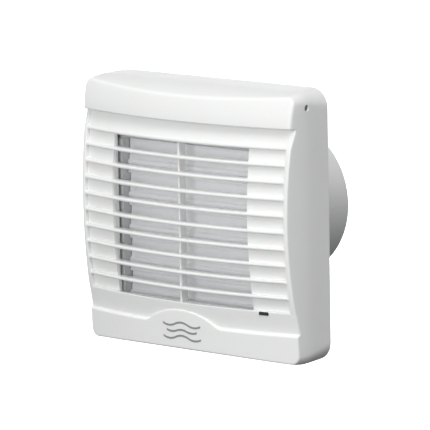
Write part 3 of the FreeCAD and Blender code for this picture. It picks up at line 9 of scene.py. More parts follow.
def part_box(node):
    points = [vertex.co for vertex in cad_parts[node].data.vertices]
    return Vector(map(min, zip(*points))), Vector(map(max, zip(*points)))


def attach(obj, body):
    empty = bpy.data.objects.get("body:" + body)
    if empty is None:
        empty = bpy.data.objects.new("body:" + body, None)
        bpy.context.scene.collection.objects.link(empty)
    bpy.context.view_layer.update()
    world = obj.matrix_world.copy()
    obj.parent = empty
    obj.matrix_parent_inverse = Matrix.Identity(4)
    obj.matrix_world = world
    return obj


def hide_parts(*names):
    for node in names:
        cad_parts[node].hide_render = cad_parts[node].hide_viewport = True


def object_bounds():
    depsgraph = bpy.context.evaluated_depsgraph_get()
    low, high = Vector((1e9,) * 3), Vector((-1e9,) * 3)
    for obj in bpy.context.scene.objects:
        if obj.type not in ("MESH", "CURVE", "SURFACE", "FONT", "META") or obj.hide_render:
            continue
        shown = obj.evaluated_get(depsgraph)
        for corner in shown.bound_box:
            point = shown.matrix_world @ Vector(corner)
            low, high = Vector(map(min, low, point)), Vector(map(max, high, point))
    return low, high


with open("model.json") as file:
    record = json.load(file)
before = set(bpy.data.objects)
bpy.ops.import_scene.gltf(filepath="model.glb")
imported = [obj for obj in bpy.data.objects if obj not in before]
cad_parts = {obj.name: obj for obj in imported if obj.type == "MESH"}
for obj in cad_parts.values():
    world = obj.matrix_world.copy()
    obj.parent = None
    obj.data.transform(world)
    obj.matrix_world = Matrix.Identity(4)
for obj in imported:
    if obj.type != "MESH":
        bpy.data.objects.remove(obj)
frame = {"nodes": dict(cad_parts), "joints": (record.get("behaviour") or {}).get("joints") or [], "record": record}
cad_low, cad_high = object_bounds()
scene = bpy.context.scene
scene.view_settings.view_transform = "Standard"

# Shapes are worked out in millimetres, in the CAD frame, and made in metres. "Depth" is how far a point
# stands off the wall towards the room, so y = -depth.
MM = 0.001


def node_box(node):
    """A CAD node's lowest and highest corners, in millimetres."""
    low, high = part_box(node)
    return low / MM, high / MM


# ---- materials ----

SLOTS = {entry["slot"]: entry for entry in frame["record"]["materials"]}


class Finish:
    """A material whose colour, roughness and relief come from procedural textures in object space."""

    def __init__(self, slot):
        self.material = bpy.data.materials.new(slot)
        self.material.use_nodes = True
        self.tree = self.material.node_tree
        self.shader = self.tree.nodes["Principled BSDF"]
        self.place = self.tree.nodes.new("ShaderNodeTexCoord").outputs["Object"]
        self.relief = None

    def node(self, kind, **settings):
        made = self.tree.nodes.new(kind)
        for name, value in settings.items():
            setattr(made, name, value)
        return made

    def link(self, source, socket):
        self.tree.links.new(source, socket)

    def stretched(self, scale):
        """Object coordinates stretched along each axis."""
        mapping = self.node("ShaderNodeMapping")
        mapping.inputs["Scale"].default_value = scale
        self.link(self.place, mapping.inputs["Vector"])
        return mapping.outputs["Vector"]

    def noise(self, size_mm, detail=3.0, stretch=(1, 1, 1)):
        """Cloudy noise with features of a size in millimetres."""
        texture = self.node("ShaderNodeTexNoise")
        texture.inputs["Scale"].default_value = 1 / (size_mm * MM)
        texture.inputs["Detail"].default_value = detail
        self.link(self.stretched(stretch), texture.inputs["Vector"])
        return texture.outputs["Fac"]

    def cells(self, size_mm, feature="F1"):
        texture = self.node("ShaderNodeTexVoronoi", feature=feature)
        texture.inputs["Scale"].default_value = 1 / (size_mm * MM)
        self.link(self.place, texture.inputs["Vector"])
        return texture.outputs["Distance"]

    def bands(self, size_mm, axis="Z", distortion=0.0):
        texture = self.node("ShaderNodeTexWave", bands_direction=axis)
        texture.inputs["Scale"].default_value = 0.5 / (size_mm * MM)
        texture.inputs["Distortion"].default_value = distortion
        self.link(self.place, texture.inputs["Vector"])
        return texture.outputs["Fac"]

    def between(self, factor, low, high, start=0.3, end=0.7):
        """A number that runs from low to high as a texture's factor runs from start to end."""
        scale = self.node("ShaderNodeMapRange")
        self.link(factor, scale.inputs["Value"])
        for name, value in zip(("From Min", "From Max", "To Min", "To Max"), (start, end, low, high)):
            scale.inputs[name].default_value = value
        return scale.outputs["Result"]

    def colour(self, factor, dark, light, start=0.3, end=0.7):
        ramp = self.node("ShaderNodeValToRGB")
        ramp.color_ramp.elements[0].position = start
        ramp.color_ramp.elements[1].position = end
        ramp.color_ramp.elements[0].color = (*dark, 1)
        ramp.color_ramp.elements[1].color = (*light, 1)
        self.link(factor, ramp.inputs["Fac"])
        self.link(ramp.outputs["Color"], self.shader.inputs["Base Color"])

    def roughness(self, factor, low, high):
        self.link(self.between(factor, low, high), self.shader.inputs["Roughness"])

    def bump(self, factor, depth_mm, strength=1.0):
        """Adds relief of a depth in millimetres on top of any already there."""
        bump = self.node("ShaderNodeBump")
        bump.inputs["Distance"].default_value = depth_mm * MM
        bump.inputs["Strength"].default_value = strength
        self.link(factor, bump.inputs["Height"])
        if self.relief is not None:
            self.link(self.relief, bump.inputs["Normal"])
        self.relief = bump.outputs["Normal"]
        self.link(self.relief, self.shader.inputs["Normal"])

    def set(self, **values):
        for name, value in values.items():
            self.shader.inputs[name.replace("_", " ")].default_value = value


def slot_colour(slot):
    return SLOTS[slot]["base_color"][:3]


def shade(colour, factor):
    return tuple(min(1.0, channel * factor) for channel in colour)


def moulded(slot, roughness=0.42, grain_mm=0.35, grain_deep=0.012, drift=0.985):
    """Injection-moulded plastic: spark-eroded grain, faint flow clouds and a slightly uneven gloss."""
    colour = slot_colour(slot)
    finish = Finish(slot)
    finish.colour(finish.noise(34, 2), shade(colour, drift), colour)
    finish.roughness(finish.noise(9, 3), roughness - 0.04, roughness + 0.05)
    finish.bump(finish.noise(grain_mm, 2), grain_deep)
    finish.bump(finish.noise(26, 1), 0.05, 0.4)
    return finish


def cover_plastic(slot):
    finish = moulded(slot, 0.36, 0.30, 0.010, 0.988)
    finish.set(Specular_IOR_Level=0.45, Subsurface_Weight=0.06, Subsurface_Scale=0.003)
    return finish


def glossy(slot, roughness=0.12):
    colour = slot_colour(slot)
    finish = Finish(slot)
    finish.colour(finish.noise(4, 2), shade(colour, 0.7), shade(colour, 1.3))
    finish.roughness(finish.noise(1.5, 4), roughness, roughness + 0.12)
    finish.bump(finish.noise(2.0, 1), 0.01)
    finish.set(Coat_Weight=0.4, Coat_Roughness=0.05)
    return finish


def clear(slot, roughness=0.08):
    """Clear or tinted moulding, lightly frosted."""
    colour = slot_colour(slot)
    finish = Finish(slot)
    finish.colour(finish.noise(3, 2), shade(colour, 0.93), colour)
    finish.roughness(finish.noise(1.2, 3), roughness, roughness + 0.12)
    finish.bump(finish.noise(1.0, 2), 0.006)
    finish.set(Transmission_Weight=0.85, IOR=1.49)
    return finish


def steel(slot, roughness=0.3, brush=(1, 1, 14), scratch_mm=1.6):
    """Bright metal with fine brushing, faint stains and a varying shine."""
    colour = slot_colour(slot)
    finish = Finish(slot)
    finish.colour(finish.noise(7, 4), shade(colour, 0.82), shade(colour, 1.05))
    finish.roughness(finish.noise(3, 4), roughness - 0.08, roughness + 0.12)
    finish.bump(finish.noise(scratch_mm, 4, brush), 0.01)
    finish.set(Metallic=1.0)
    return finish


def plated(slot):
    return steel(slot, 0.34, (1, 1, 1), 0.5)


def bronze(slot):
    """Sintered metal: open pores and an oily shine."""
    finish = steel(slot, 0.45, (1, 1, 1), 0.25)
    finish.bump(finish.cells(0.3), 0.02)
    return finish


def laminations(slot):
    """A stack of thin plates seen on edge."""
    finish = steel(slot, 0.42, (1, 1, 1), 0.4)
    finish.bump(finish.bands(0.5, "Y"), 0.06)
    return finish


def winding(slot):
    """Turns of varnished wire, with painted shade in the grooves between turns and a painted highlight on their
    crests.
    """
    colour = slot_colour(slot)
    finish = Finish(slot)
    # painted shade and highlight: the colour is darker where the bands' relief is low, between the turns, and
    # lighter where it is high
    finish.colour(finish.bands(0.35, "Y", 1.5), shade(colour, 0.45), shade(colour, 1.15))
    finish.roughness(finish.noise(1.0, 3), 0.2, 0.4)
    finish.bump(finish.bands(0.35, "Y", 1.5), 0.12)
    finish.set(Metallic=0.7, Coat_Weight=0.5)
    return finish


def rubber(slot, roughness=0.72):
    colour = slot_colour(slot)
    finish = Finish(slot)
    finish.colour(finish.noise(6, 4), shade(colour, 0.8), shade(colour, 1.35))
    finish.roughness(finish.noise(2, 3), roughness - 0.08, roughness + 0.1)
    finish.bump(finish.noise(0.3, 3), 0.02)
    finish.set(Specular_IOR_Level=0.3)
    return finish


def foam(slot):
    finish = rubber(slot, 0.85)
    finish.bump(finish.cells(0.7), 0.15)
    return finish


def ink(slot):
    """Pad-printed ink: flat, with a faint screen and a slightly uneven tone."""
    colour = slot_colour(slot)
    finish = Finish(slot)
    finish.colour(finish.noise(0.8, 3), shade(colour, 0.9), shade(colour, 1.2))
    finish.roughness(finish.noise(1.2, 2), 0.45, 0.6)
    finish.bump(finish.cells(0.25), 0.004)
    return finish


def circuit(slot):
    """Board laminate: green lacquer over woven glass, with pale tracks under it."""
    colour = slot_colour(slot)
    finish = Finish(slot)
    tracks = finish.cells(3.2, "DISTANCE_TO_EDGE")
    finish.colour(tracks, shade(colour, 1.9), colour, 0.06, 0.09)
    finish.roughness(finish.noise(2, 3), 0.25, 0.4)
    finish.bump(finish.bands(0.6, "X"), 0.01)
    finish.bump(finish.bands(0.6, "Z"), 0.01)
    return finish


MAKERS = {
    "cover_plastic": cover_plastic, "lens_black": glossy, "pipe_clear": clear, "led_clear": clear,
    "mark_grey": ink, "seal_foam": foam, "black_rubber": rubber, "lead_grey": rubber,
    "motor_steel": plated, "screw_steel": plated, "clamp_steel": steel, "spring_steel": steel,
    "shaft_steel": steel, "terminal_brass": plated, "sintered_bronze": bronze,
    "lamination_steel": laminations, "enamelled_copper": winding, "board_laminate": circuit,
}


def make_materials():
    """One finish for each of the record's slots; the plain mouldings share one maker."""
    made = {}
    for slot in SLOTS:
        made[slot] = MAKERS.get(slot, moulded)(slot).material
    return made


MATERIALS = make_materials()


def dress_cad_nodes():
    """Gives every CAD node the finish of its slot."""
    for entry in frame["record"]["subparts"]:
        thing = frame["nodes"][entry["node"]]
        for holder in thing.material_slots:
            holder.material = MATERIALS[entry["material_slot"]]


# ---- mesh helpers ----

SHARP = 35                          # edges that turn by more degrees than this are shaded sharp
SAME_POINT, SHORT_EDGE = 0.002, 0.001   # closer points become one, and shorter edges go


def placed(name, data):
    """A new object in the scene that shows a mesh, a light or a camera."""
    thing = bpy.data.objects.new(name, data)
    scene.collection.objects.link(thing)
    return thing


def solid_from(name, points, faces):
    """An object with a mesh from points in millimetres."""
    work = bmesh.new()
    corners = [work.verts.new(Vector(point) * MM) for point in points]
    for face in faces:
        work.faces.new([corners[number] for number in face])
    bmesh.ops.remove_doubles(work, verts=work.verts, dist=SAME_POINT * MM)
    bmesh.ops.dissolve_degenerate(work, edges=work.edges, dist=SHORT_EDGE * MM)
    bmesh.ops.recalc_face_normals(work, faces=work.faces)
    mesh = bpy.data.meshes.new(name)
    work.to_mesh(mesh)
    work.free()
    return placed(name, mesh)


def piece_from(name, points, faces, slot, body, replaced=(), sharp=SHARP):
    """A smooth-shaded piece on a body, in a slot's finish."""
    piece = solid_from(name, points, faces)
    piece.data.shade_smooth()
    piece.data.set_sharp_from_angle(angle=math.radians(sharp))
    piece.data.materials.append(MATERIALS[slot])
    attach(piece, body)
    if replaced:
        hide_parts(*replaced)
    return piece


def quads(rows, columns, closed_rows=False, closed_columns=False):
    """Faces of a grid of points listed row by row."""
    faces = []
    for row in range(rows if closed_rows else rows - 1):
        for column in range(columns if closed_columns else columns - 1):
            below, beside = (row + 1) % rows, (column + 1) % columns
            faces.append((
                row * columns + column, row * columns + beside,
                below * columns + beside, below * columns + column,
            ))
    return faces


def tube_along(sections):
    """Points and faces of a skin over closed sections of equal length, with both ends shut."""
    count = len(sections[0])
    points = [point for section in sections for point in section]
    faces = quads(len(sections), count, closed_columns=True)
    faces.append(tuple(range(count)))
    faces.append(tuple(range(len(points) - count, len(points))))
    return points, faces


def spread(low, high, count):
    """Evenly spaced numbers, with both ends."""
    return [low + (high - low) * number / (count - 1) for number in range(count)]


MOST_SETBACK = 0.48                 # the most of a run that one rounded corner may take
SOFT_STEPS = 4


def softened(corners):
    """Rounds an open outline. Each corner is (first, second, radius), and a radius of 0 keeps it sharp."""
    line = [tuple(corners[0][:2])]
    for before, corner, after in zip(corners, corners[1:], corners[2:]):
        here = Vector(corner[:2])
        back = Vector(before[:2]) - here
        onward = Vector(after[:2]) - here
        if corner[2] == 0:
            line.append(tuple(here))
            continue
        wanted = corner[2] / math.tan(back.angle(onward) / 2)
        setback = min(wanted, back.length * MOST_SETBACK, onward.length * MOST_SETBACK)
        first = here + back.normalized() * setback
        last = here + onward.normalized() * setback
        for share in spread(0, 1, SOFT_STEPS + 1):
            line.append(tuple(first.lerp(here, share).lerp(here.lerp(last, share), share)))
    line.append(tuple(corners[-1][:2]))
    return line


def softened_loop(corners):
    """Rounds a closed outline."""
    return softened([corners[-1], *corners, corners[0]])[1:-1]


def ring(x, radius, y, z, count):
    """A circle of points about an axis along X."""
    turns = spread(0, 2 * math.pi * (count - 1) / count, count)
    return [(x, y + radius * math.cos(turn), z + radius * math.sin(turn)) for turn in turns]


# ---- the cover's shape ----

COVER_HIGH = node_box("front_cover")[1]
HALF = COVER_HIGH.x                 # half the casing at the wall
REAR = -COVER_HIGH.y                # depth of the cover's rear edge
BULGE = -node_box("front_grille")[0].y  # depth of the bars at the middle
BOW_ROUND = 325.0                   # the face's radius from side to side
CROWN_ROUND = 293.0                 # the grille's radius from top to bottom
CROWN_Z = 5.7                       # height of the grille's foremost point
ROLL_START = (20.0, HALF - 0.5)     # depth and half width where the sides start to roll in
SIDE_ROLL = (50.0, 78.9, 171.0)     # depth, half width and radius of the roll
TOP_ROLL = (50.0, 76.5, 103.0)
CORNER_WALL, CORNER_FRONT = 12.0, 1.4   # radius of the outline's four corners at the wall and at the face
BAR_COUNT, BAR_TOP, BAR_PITCH = 10, 51.5, 10.28
BAR_HALF, BAR_NOSE, BAR_DEEP = 1.1, 1.0, 7.0
BAR_FLARE, BAR_FLARE_LONG = 0.7, 3.0    # how far a bar spreads where it meets the rims, and over what length
BAR_TAPER = 0.8                     # a bar's back edge against its nose
BAR_BITE = 0.3                      # how far bars run into the rims
LEDGE_Z = BAR_TOP - BAR_PITCH * BAR_COUNT
FIELD_LOW = LEDGE_Z + BAR_HALF
FIELD_DEEP = 3.0                    # the grille field lies this far behind the bars' fronts
FIELD_SOFT = 0.5                    # radius of the ledge's upper edge
PANEL_SUNK = 0.7                    # the panel over the bars starts this far behind the top bar's front
PANEL_TOP, PANEL_BACK, PANEL_ROUND = 62.9, 39.8, 24.0
BROW_LOW, BROW_LOW_DEPTH, BROW_BACK = 63.5, 45.1, 40.6
BROW_TOP, BROW_TOP_DEPTH, BROW_ROUND = 80.0, 42.0, 60.0
BROW_START, CHIN_START = 67.0, -70.0    # heights where the face's rows end and the brow and the chin begin
CAP_LEVEL = 72.0                    # height, either way, where the casing's corners begin
CHIN_TOP, STEP_Z, STEP_DEPTH, LEDGE_FOOT = -65.0, -63.8, 39.8, -53.0
STEP_SOFT, PANEL_SOFT, BROW_SOFT = 0.8, 0.6, 0.9
LEDGE_LEAN = 0.35                   # the ledge's foot lies this far behind its top
CHIN_LEAN = ((-92.0, 40.2), (LEDGE_FOOT, 42.6))
RIM_INNER, RIM_SOFT, RIM_PROUD = 79.4, 0.45, 0.3
RIM_RISE = 6                        # the rims come out over this height above the ledge
BROW_EDGE, CHIN_EDGE, GRILLE_EDGE = 1.7, 1.1, 0.65  # radius of the edge between the sides and the face
WINDOW_LEFT, WINDOW_RIGHT = -54.6, 53.0
COLLAR_RIGHT, COLLAR_BACK = 53.7, 34.6
COLLAR_FOOT, COLLAR_TOP = FIELD_LOW - 0.2, BAR_TOP - 0.4
COLLAR_THICK, COLLAR_BITE = 1.2, 1.0
SKIN = 2.2                          # the shell's thickness
DIMPLE_FLOOR = 82.9                 # distance aside of the floor of the dimples in the sides
DIMPLE = (                          # distance aside and radius of the dimples' rings, from the floor outwards
    (DIMPLE_FLOOR, 1.6), (DIMPLE_FLOOR + 0.1, 1.9), (HALF - 0.35, 2.0), (HALF - 0.05, 2.4), (HALF + 1, 3.4),
)
RIB_HALF, RIB_FRONT, RIB_BACK = 0.7, 41.6, 35.6
RIB_LOW, RIB_HIGH = LEDGE_Z - 0.4, BAR_TOP + 1
BADGE_HALF, BADGE_SOFT, BADGE_SUNK = 30.0, 0.7, 2.4
BADGE_PROUD = 0.02
LENS_IN = (0.9, 3.2)                # the dark block's left and right end against the CAD lens
LENS_TALL = (0.25, 0.75)            # and its foot and top
LENS_PROUD, LENS_DEEP, LENS_SOFT, LENS_END = 0.35, 3, 0.35, 0.25


def bow_drop(x):
    """How much less deep the bowed face is at a place to the side than in the middle."""
    return BOW_ROUND - math.sqrt(BOW_ROUND ** 2 - x * x)


def crown(z):
    """Depth of the bars' fronts at a height."""
    return BULGE - CROWN_ROUND + math.sqrt(CROWN_ROUND ** 2 - (z - CROWN_Z) ** 2)


def chin(z):
    """Depth of the chin at a height."""
    (low, low_depth), (high, high_depth) = CHIN_LEAN
    return low_depth + (high_depth - low_depth) * (z - low) / (high - low)


def arc_height(spot, first, last, radius):
    """Height at a spot of the arc, bulging upwards, through two (spot, height) points."""
    first, last = Vector(first), Vector(last)
    chord = last - first
    across = Vector((-chord.y, chord.x)).normalized()
    centre = (first + last) / 2 - across * math.sqrt(radius ** 2 - (chord.length / 2) ** 2)
    return centre.y + math.sqrt(radius ** 2 - (spot - centre.x) ** 2)


def rolled(depth, roll):
    """Half width of the casing at a depth."""
    if depth < ROLL_START[0]:
        return HALF + (ROLL_START[1] - HALF) * depth / ROLL_START[0]
    return arc_height(depth, ROLL_START, roll[:2], roll[2])


def corner_round(depth):
    """Radius of the outline's four corners at a depth."""
    return CORNER_WALL + (CORNER_FRONT - CORNER_WALL) * depth / SIDE_ROLL[0]


def brow(z):
    """Depth of the brow at a height."""
    return arc_height(z, (BROW_LOW, BROW_LOW_DEPTH), (BROW_TOP, BROW_TOP_DEPTH), BROW_ROUND)


def front_profile():
    """The face's outline on the middle plane, as (depth, height), from the chin to the brow."""
    corners = [(chin(z), z, 0) for z in (CHIN_START, CHIN_START + 3)]
    corners += [(chin(CHIN_TOP), CHIN_TOP, STEP_SOFT), (STEP_DEPTH, STEP_Z, STEP_SOFT)]
    corners += [(crown(LEDGE_Z) - LEDGE_LEAN, LEDGE_FOOT, STEP_SOFT), (crown(LEDGE_Z), LEDGE_Z, STEP_SOFT)]
    corners += [(crown(z), z, 0) for z in (FIELD_LOW - 0.5, FIELD_LOW - 0.3, FIELD_LOW - 0.1, FIELD_LOW)]
    corners += [(crown(z), z, 0) for z in spread(FIELD_LOW + 0.05, BAR_TOP, 27)]
    slope = (crown(BAR_TOP) - BROW_BACK) / (PANEL_TOP - 1 - BAR_TOP)
    for z in (BAR_TOP + 0.05, BAR_TOP + BAR_HALF, 53.4, 55, 57, 59, 61):
        corners.append((crown(BAR_TOP) - slope * (z - BAR_TOP), z, 0))
    corners += [(BROW_BACK, PANEL_TOP, PANEL_SOFT), (BROW_LOW_DEPTH, BROW_LOW, BROW_SOFT)]
    corners += [(brow(z), z, 0) for z in (BROW_START - 2, BROW_START)]
    return softened(corners)


def recess_depth(depth, z):
    """Depth of the face between the side rims, where its outline on the rims is (depth, z)."""
    if z < FIELD_LOW - FIELD_SOFT or z > BROW_LOW:
        return depth
    if z <= FIELD_LOW:
        return depth - FIELD_SOFT + math.sqrt(FIELD_SOFT ** 2 - (z - FIELD_LOW + FIELD_SOFT) ** 2)
    if z <= BAR_TOP:
        return crown(z) - FIELD_DEEP
    if z <= PANEL_TOP:
        panel_front = crown(BAR_TOP) - PANEL_SUNK
        flat = panel_front + (PANEL_BACK - panel_front) * (z - BAR_TOP) / (PANEL_TOP - BAR_TOP)
        reach = (z - BAR_TOP) * (PANEL_TOP - z)
        return flat - reach / (2 * PANEL_ROUND)
    short = BROW_LOW_DEPTH - depth
    return BROW_LOW_DEPTH - short * (BROW_LOW_DEPTH - PANEL_BACK) / (BROW_LOW_DEPTH - BROW_BACK)


def rim_proud(z):
    """How far the side rims stand out past the bars' fronts at a height."""
    if z <= LEDGE_Z or z > PANEL_TOP:
        return 0.0
    return RIM_PROUD * min(1.0, (z - LEDGE_Z) / RIM_RISE)


def edge_rounding(z):
    """Radius of the edge between the sides and the face: small beside the grille, larger round the brow."""
    if z > PANEL_TOP + 0.3:
        return BROW_EDGE
    return CHIN_EDGE if z < LEDGE_Z else GRILLE_EDGE


FIRST_GUESS, TRIES = 35.0, 12       # for the depth of the casing's edge
EDGE_STEPS = 6
SIDE_SHARES = (0.1, 0.22, 0.36, 0.5, 0.64, 0.78, 0.9, 1.0)  # where points lie along the side, edge to wall


class Spot:
    """A place on the casing's outline: on a side, on the top or bottom, or on a corner."""

    def __init__(self, side=0, cap=0, level=0.0, angle=None, face=None):
        self.side, self.cap, self.level, self.angle = side, cap, level, angle
        self.face = face                    # the face's depth there, on the middle plane, if it is known
        self.rounding = edge_rounding(level if angle is None and cap == 0 else cap * HALF)

    def at(self, depth):
        """Place and outward direction at a depth, in the plane of X and Z."""
        across, up, corner = rolled(depth, SIDE_ROLL), rolled(depth, TOP_ROLL), corner_round(depth)
        if self.angle is not None:
            turn = math.radians(self.angle)
            out = Vector((self.side * math.cos(turn), self.cap * math.sin(turn)))
            middle = Vector((self.side * (across - corner), self.cap * (up - corner)))
            return middle + out * corner, out
        if self.side:
            return Vector((self.side * across, self.level)), Vector((self.side, 0))
        return Vector((self.level * (across - corner), self.cap * up)), Vector((0, self.cap))

    def face_depth(self, place):
        """Depth of the bowed face at a place on or near this spot."""
        on_middle = self.face
        if on_middle is None:
            on_middle = brow(place.y) if place.y > 0 else chin(place.y)
        return on_middle - bow_drop(place.x)

    def edge_depth(self):
        """Depth where the side, which leans in, meets the bowed face: found by closing in on it."""
        depth = FIRST_GUESS
        for _ in range(TRIES):
            depth = self.face_depth(self.at(depth)[0])
        return depth

    def inner(self):
        """Where the rounded edge ends on the face."""
        edge = self.edge_depth()
        place, out = self.at(edge)
        place = place - out * self.rounding
        return Vector((place.x, -self.face_depth(place), place.y))

    def wall(self):
        """Points from the face's edge, round it and back along the side to the wall."""
        edge = self.edge_depth()
        place, _ = self.at(edge)
        corner = Vector((place.x, -edge, place.y))
        first = self.inner()
        side_start = edge - self.rounding
        last = self.level_point(side_start)
        line = []
        for step in range(1, EDGE_STEPS + 1):
            share = step / EDGE_STEPS
            line.append(first.lerp(corner, share).lerp(corner.lerp(last, share), share))
        for share in SIDE_SHARES:
            line.append(self.level_point(side_start - (side_start - REAR) * share))
        return line

    def level_point(self, depth):
        """The outline's point here at a depth."""
        place, _ = self.at(depth)
        return Vector((place.x, -depth, place.y))


COLUMNS = [0, 7, 14, 21, 28, 35, 41, 46, WINDOW_RIGHT, 54, -WINDOW_LEFT, 63, 68, 72, 75, 77.5, 78.8]
COLUMNS += [RIM_INNER + RIM_SOFT * share for share in (0, 0.04, 0.2, 0.5, 1.0)]
FULL_REACH = 80.3                   # where the columns are laid out without being squeezed


def columns_to(reach):
    """Places of the columns from one side to the other, out to a row's own reach."""
    squeeze = min(1.0, reach / FULL_REACH)
    half = [column * squeeze for column in COLUMNS] + [reach]
    return [-column for column in half[:0:-1]] + half


def patch(base, sides, cap):
    """The chin or the brow: a grid between a row of the face, two side lines and the cap's own line."""
    rows = []
    count = len(base)
    for number in range(1, len(sides[0])):
        left, right = sides[0][number], sides[1][number]
        share = (left.z - base[0].z) / (cap[0].z - base[0].z)
        row = []
        for column in range(count):
            along = column / (count - 1)
            straight = base[column].lerp(cap[column], share)
            low = base[0].lerp(cap[0], share)
            high = base[-1].lerp(cap[-1], share)
            point = straight + (left - low) * (1 - along) + (right - high) * along
            profile = brow(point.z) if point.z > 0 else chin(point.z)
            row.append(Vector((point.x, bow_drop(point.x) - profile, point.z)))
        row[0], row[-1] = left, right
        rows.append(row)
    return rows


def face_row(depth, z, edge, reach):
    """A row of the face at a height: recessed between the rims, and rounded up to the rims' own depth."""
    squeeze = min(1.0, reach / FULL_REACH)
    row = []
    for x in columns_to(reach):
        inward = RIM_INNER + RIM_SOFT - abs(x) / squeeze
        lowered = recess_depth(depth, z)
        if inward < RIM_SOFT * 0.99:
            fall = 0 if inward <= 0 else RIM_SOFT - math.sqrt(RIM_SOFT ** 2 - inward ** 2)
            lowered = max(lowered, edge - fall)
        row.append(Vector((x, bow_drop(x) - lowered, z)))
    return row


def end_block(cap, base, start):
    """The chin (cap -1) or the brow (cap 1): its rows, and the outline's spots beside it and along it."""
    levels = spread(start, CAP_LEVEL * cap, 4)[1:]
    side_spots = []
    for side in (-1, 1):
        spots = [Spot(side=side, level=level) for level in levels]
        side_spots.append(spots + [Spot(side=side, cap=cap, angle=angle) for angle in spread(0, 90, 9)])
    cap_spots = [Spot(cap=cap, level=point.x / base[-1].x) for point in base[1:-1]]
    sides = [[end] + [spot.inner() for spot in spots] for end, spots in zip((base[0], base[-1]), side_spots)]
    cap_line = [sides[0][-1]] + [spot.inner() for spot in cap_spots] + [sides[1][-1]]
    rows = patch(base, sides, cap_line)
    rows[-1] = cap_line
    return rows, side_spots, cap_spots


def cover_rows():
    """The face as rows of points, and the outline's spots round it: right, left, foot and top."""
    middle, ends = [], []
    for depth, z in front_profile():
        edge = depth + rim_proud(z)
        spots = [Spot(side=side, level=z, face=edge) for side in (-1, 1)]
        middle.append(face_row(depth, z, edge, spots[1].inner().x))
        ends.append(spots)
    low_rows, low_sides, low_cap = end_block(-1, middle[0], CHIN_START)
    high_rows, high_sides, high_cap = end_block(1, middle[-1], BROW_START)
    rows = low_rows[::-1] + middle + high_rows
    right = low_sides[1][::-1] + [pair[1] for pair in ends] + high_sides[1]
    left = low_sides[0][::-1] + [pair[0] for pair in ends] + high_sides[0]
    return rows, right, left, low_cap, high_cap


def in_window(points):
    """Whether a face of the cover lies in the window's opening."""
    middle = sum(points, Vector()) / len(points)
    return WINDOW_LEFT < middle.x < WINDOW_RIGHT and FIELD_LOW < middle.z < BAR_TOP and middle.y > -BULGE


def cover_shell():
    """The cover without its bars: one skin over the face and the sides, thickened inwards."""
    rows, right, left, low_cap, high_cap = cover_rows()
    count = len(rows[0])
    points = [point for row in rows for point in row]
    faces = [face for face in quads(len(rows), count) if not in_window([points[number] for number in face])]
    last_row = (len(rows) - 1) * count
    loop = [(number * count + count - 1, spot) for number, spot in enumerate(right)]
    loop += [(last_row + column, spot) for column, spot in zip(range(count - 2, 0, -1), high_cap[::-1])]
    loop += [(number * count, spot) for number, spot in reversed(list(enumerate(left)))]
    loop += [(column, spot) for column, spot in zip(range(1, count - 1), low_cap)]
    walls = [(number, spot.wall()) for number, spot in loop]
    tall = len(walls[0][1])
    starts = []
    for _, line in walls:
        starts.append(len(points))
        points += line
    for place, (number, _) in enumerate(walls):
        onward = (place + 1) % len(walls)
        first = [number, *range(starts[place], starts[place] + tall)]
        second = [walls[onward][0], *range(starts[onward], starts[onward] + tall)]
        faces += [(first[step], second[step], second[step + 1], first[step + 1]) for step in range(tall)]
    replaced = ["front_cover", "front_grille"]
    shell = piece_from("cover_shell", points, faces, "cover_plastic", "cover", replaced)
    skin = shell.modifiers.new("skin", "SOLIDIFY")
    skin.thickness = SKIN * MM
    skin.offset = -1
    for side in (-1, 1):
        drill(shell, side)


def drill(shell, side):
    """Sinks the dimple over one of the cover's screws into the shell."""
    low, high = node_box("cover_screws")
    y, z = (low.y + high.y) / 2, (low.z + high.z) / 2
    points, faces = tube_along([ring(side * reach, radius, y, z, 32) for reach, radius in DIMPLE])
    tool = solid_from("drill", points, faces)
    sunk = shell.modifiers.new("dimple", "BOOLEAN")
    sunk.operation = "DIFFERENCE"
    sunk.object = tool
    made = bpy.data.meshes.new_from_object(shell.evaluated_get(bpy.context.evaluated_depsgraph_get()))
    shell.modifiers.clear()
    shell.data = made
    made.set_sharp_from_angle(angle=math.radians(SHARP))
    bpy.data.objects.remove(tool)


def cover_bar(number):
    """A grille bar: a slat with a rounded nose that follows the bow and spreads where it meets the rims."""
    z = BAR_TOP - BAR_PITCH * number
    front = crown(z)
    reach = RIM_INNER + BAR_BITE
    noses = spread(-90, 90, 11)
    places = [-reach, -reach + 0.5, -reach + 1.1, -reach + 1.9, -reach + 3] + spread(-72, 72, 19)
    places += [-place for place in places[4::-1]]
    sections = []
    for x in places:
        near = max(0.0, 1 - (reach - abs(x)) / BAR_FLARE_LONG)
        half = BAR_HALF + BAR_FLARE * near ** 2
        section = []
        for angle in noses:
            turn = math.radians(angle)
            depth = front - BAR_NOSE + BAR_NOSE * math.cos(turn)
            section.append((x, bow_drop(x) - depth, z + half * math.sin(turn)))
        back = front - BAR_DEEP
        section += [(x, bow_drop(x) - back, z + half * taper) for taper in (BAR_TAPER, -BAR_TAPER)]
        sections.append(section)
    points, faces = tube_along(sections)
    piece_from(f"grille_bar_{number + 1}", points, faces, "cover_plastic", "cover")


def cover_rib():
    """The upright rib behind the bars."""
    outline = softened_loop([
        (-RIB_HALF, -RIB_BACK, 0.1), (-RIB_HALF, -RIB_FRONT, 0.35),
        (RIB_HALF, -RIB_FRONT, 0.35), (RIB_HALF, -RIB_BACK, 0.1),
    ])
    sections = [[(x, y, z) for x, y in outline] for z in spread(RIB_LOW, RIB_HIGH, 12)]
    points, faces = tube_along(sections)
    piece_from("grille_rib", points, faces, "cover_plastic", "cover")


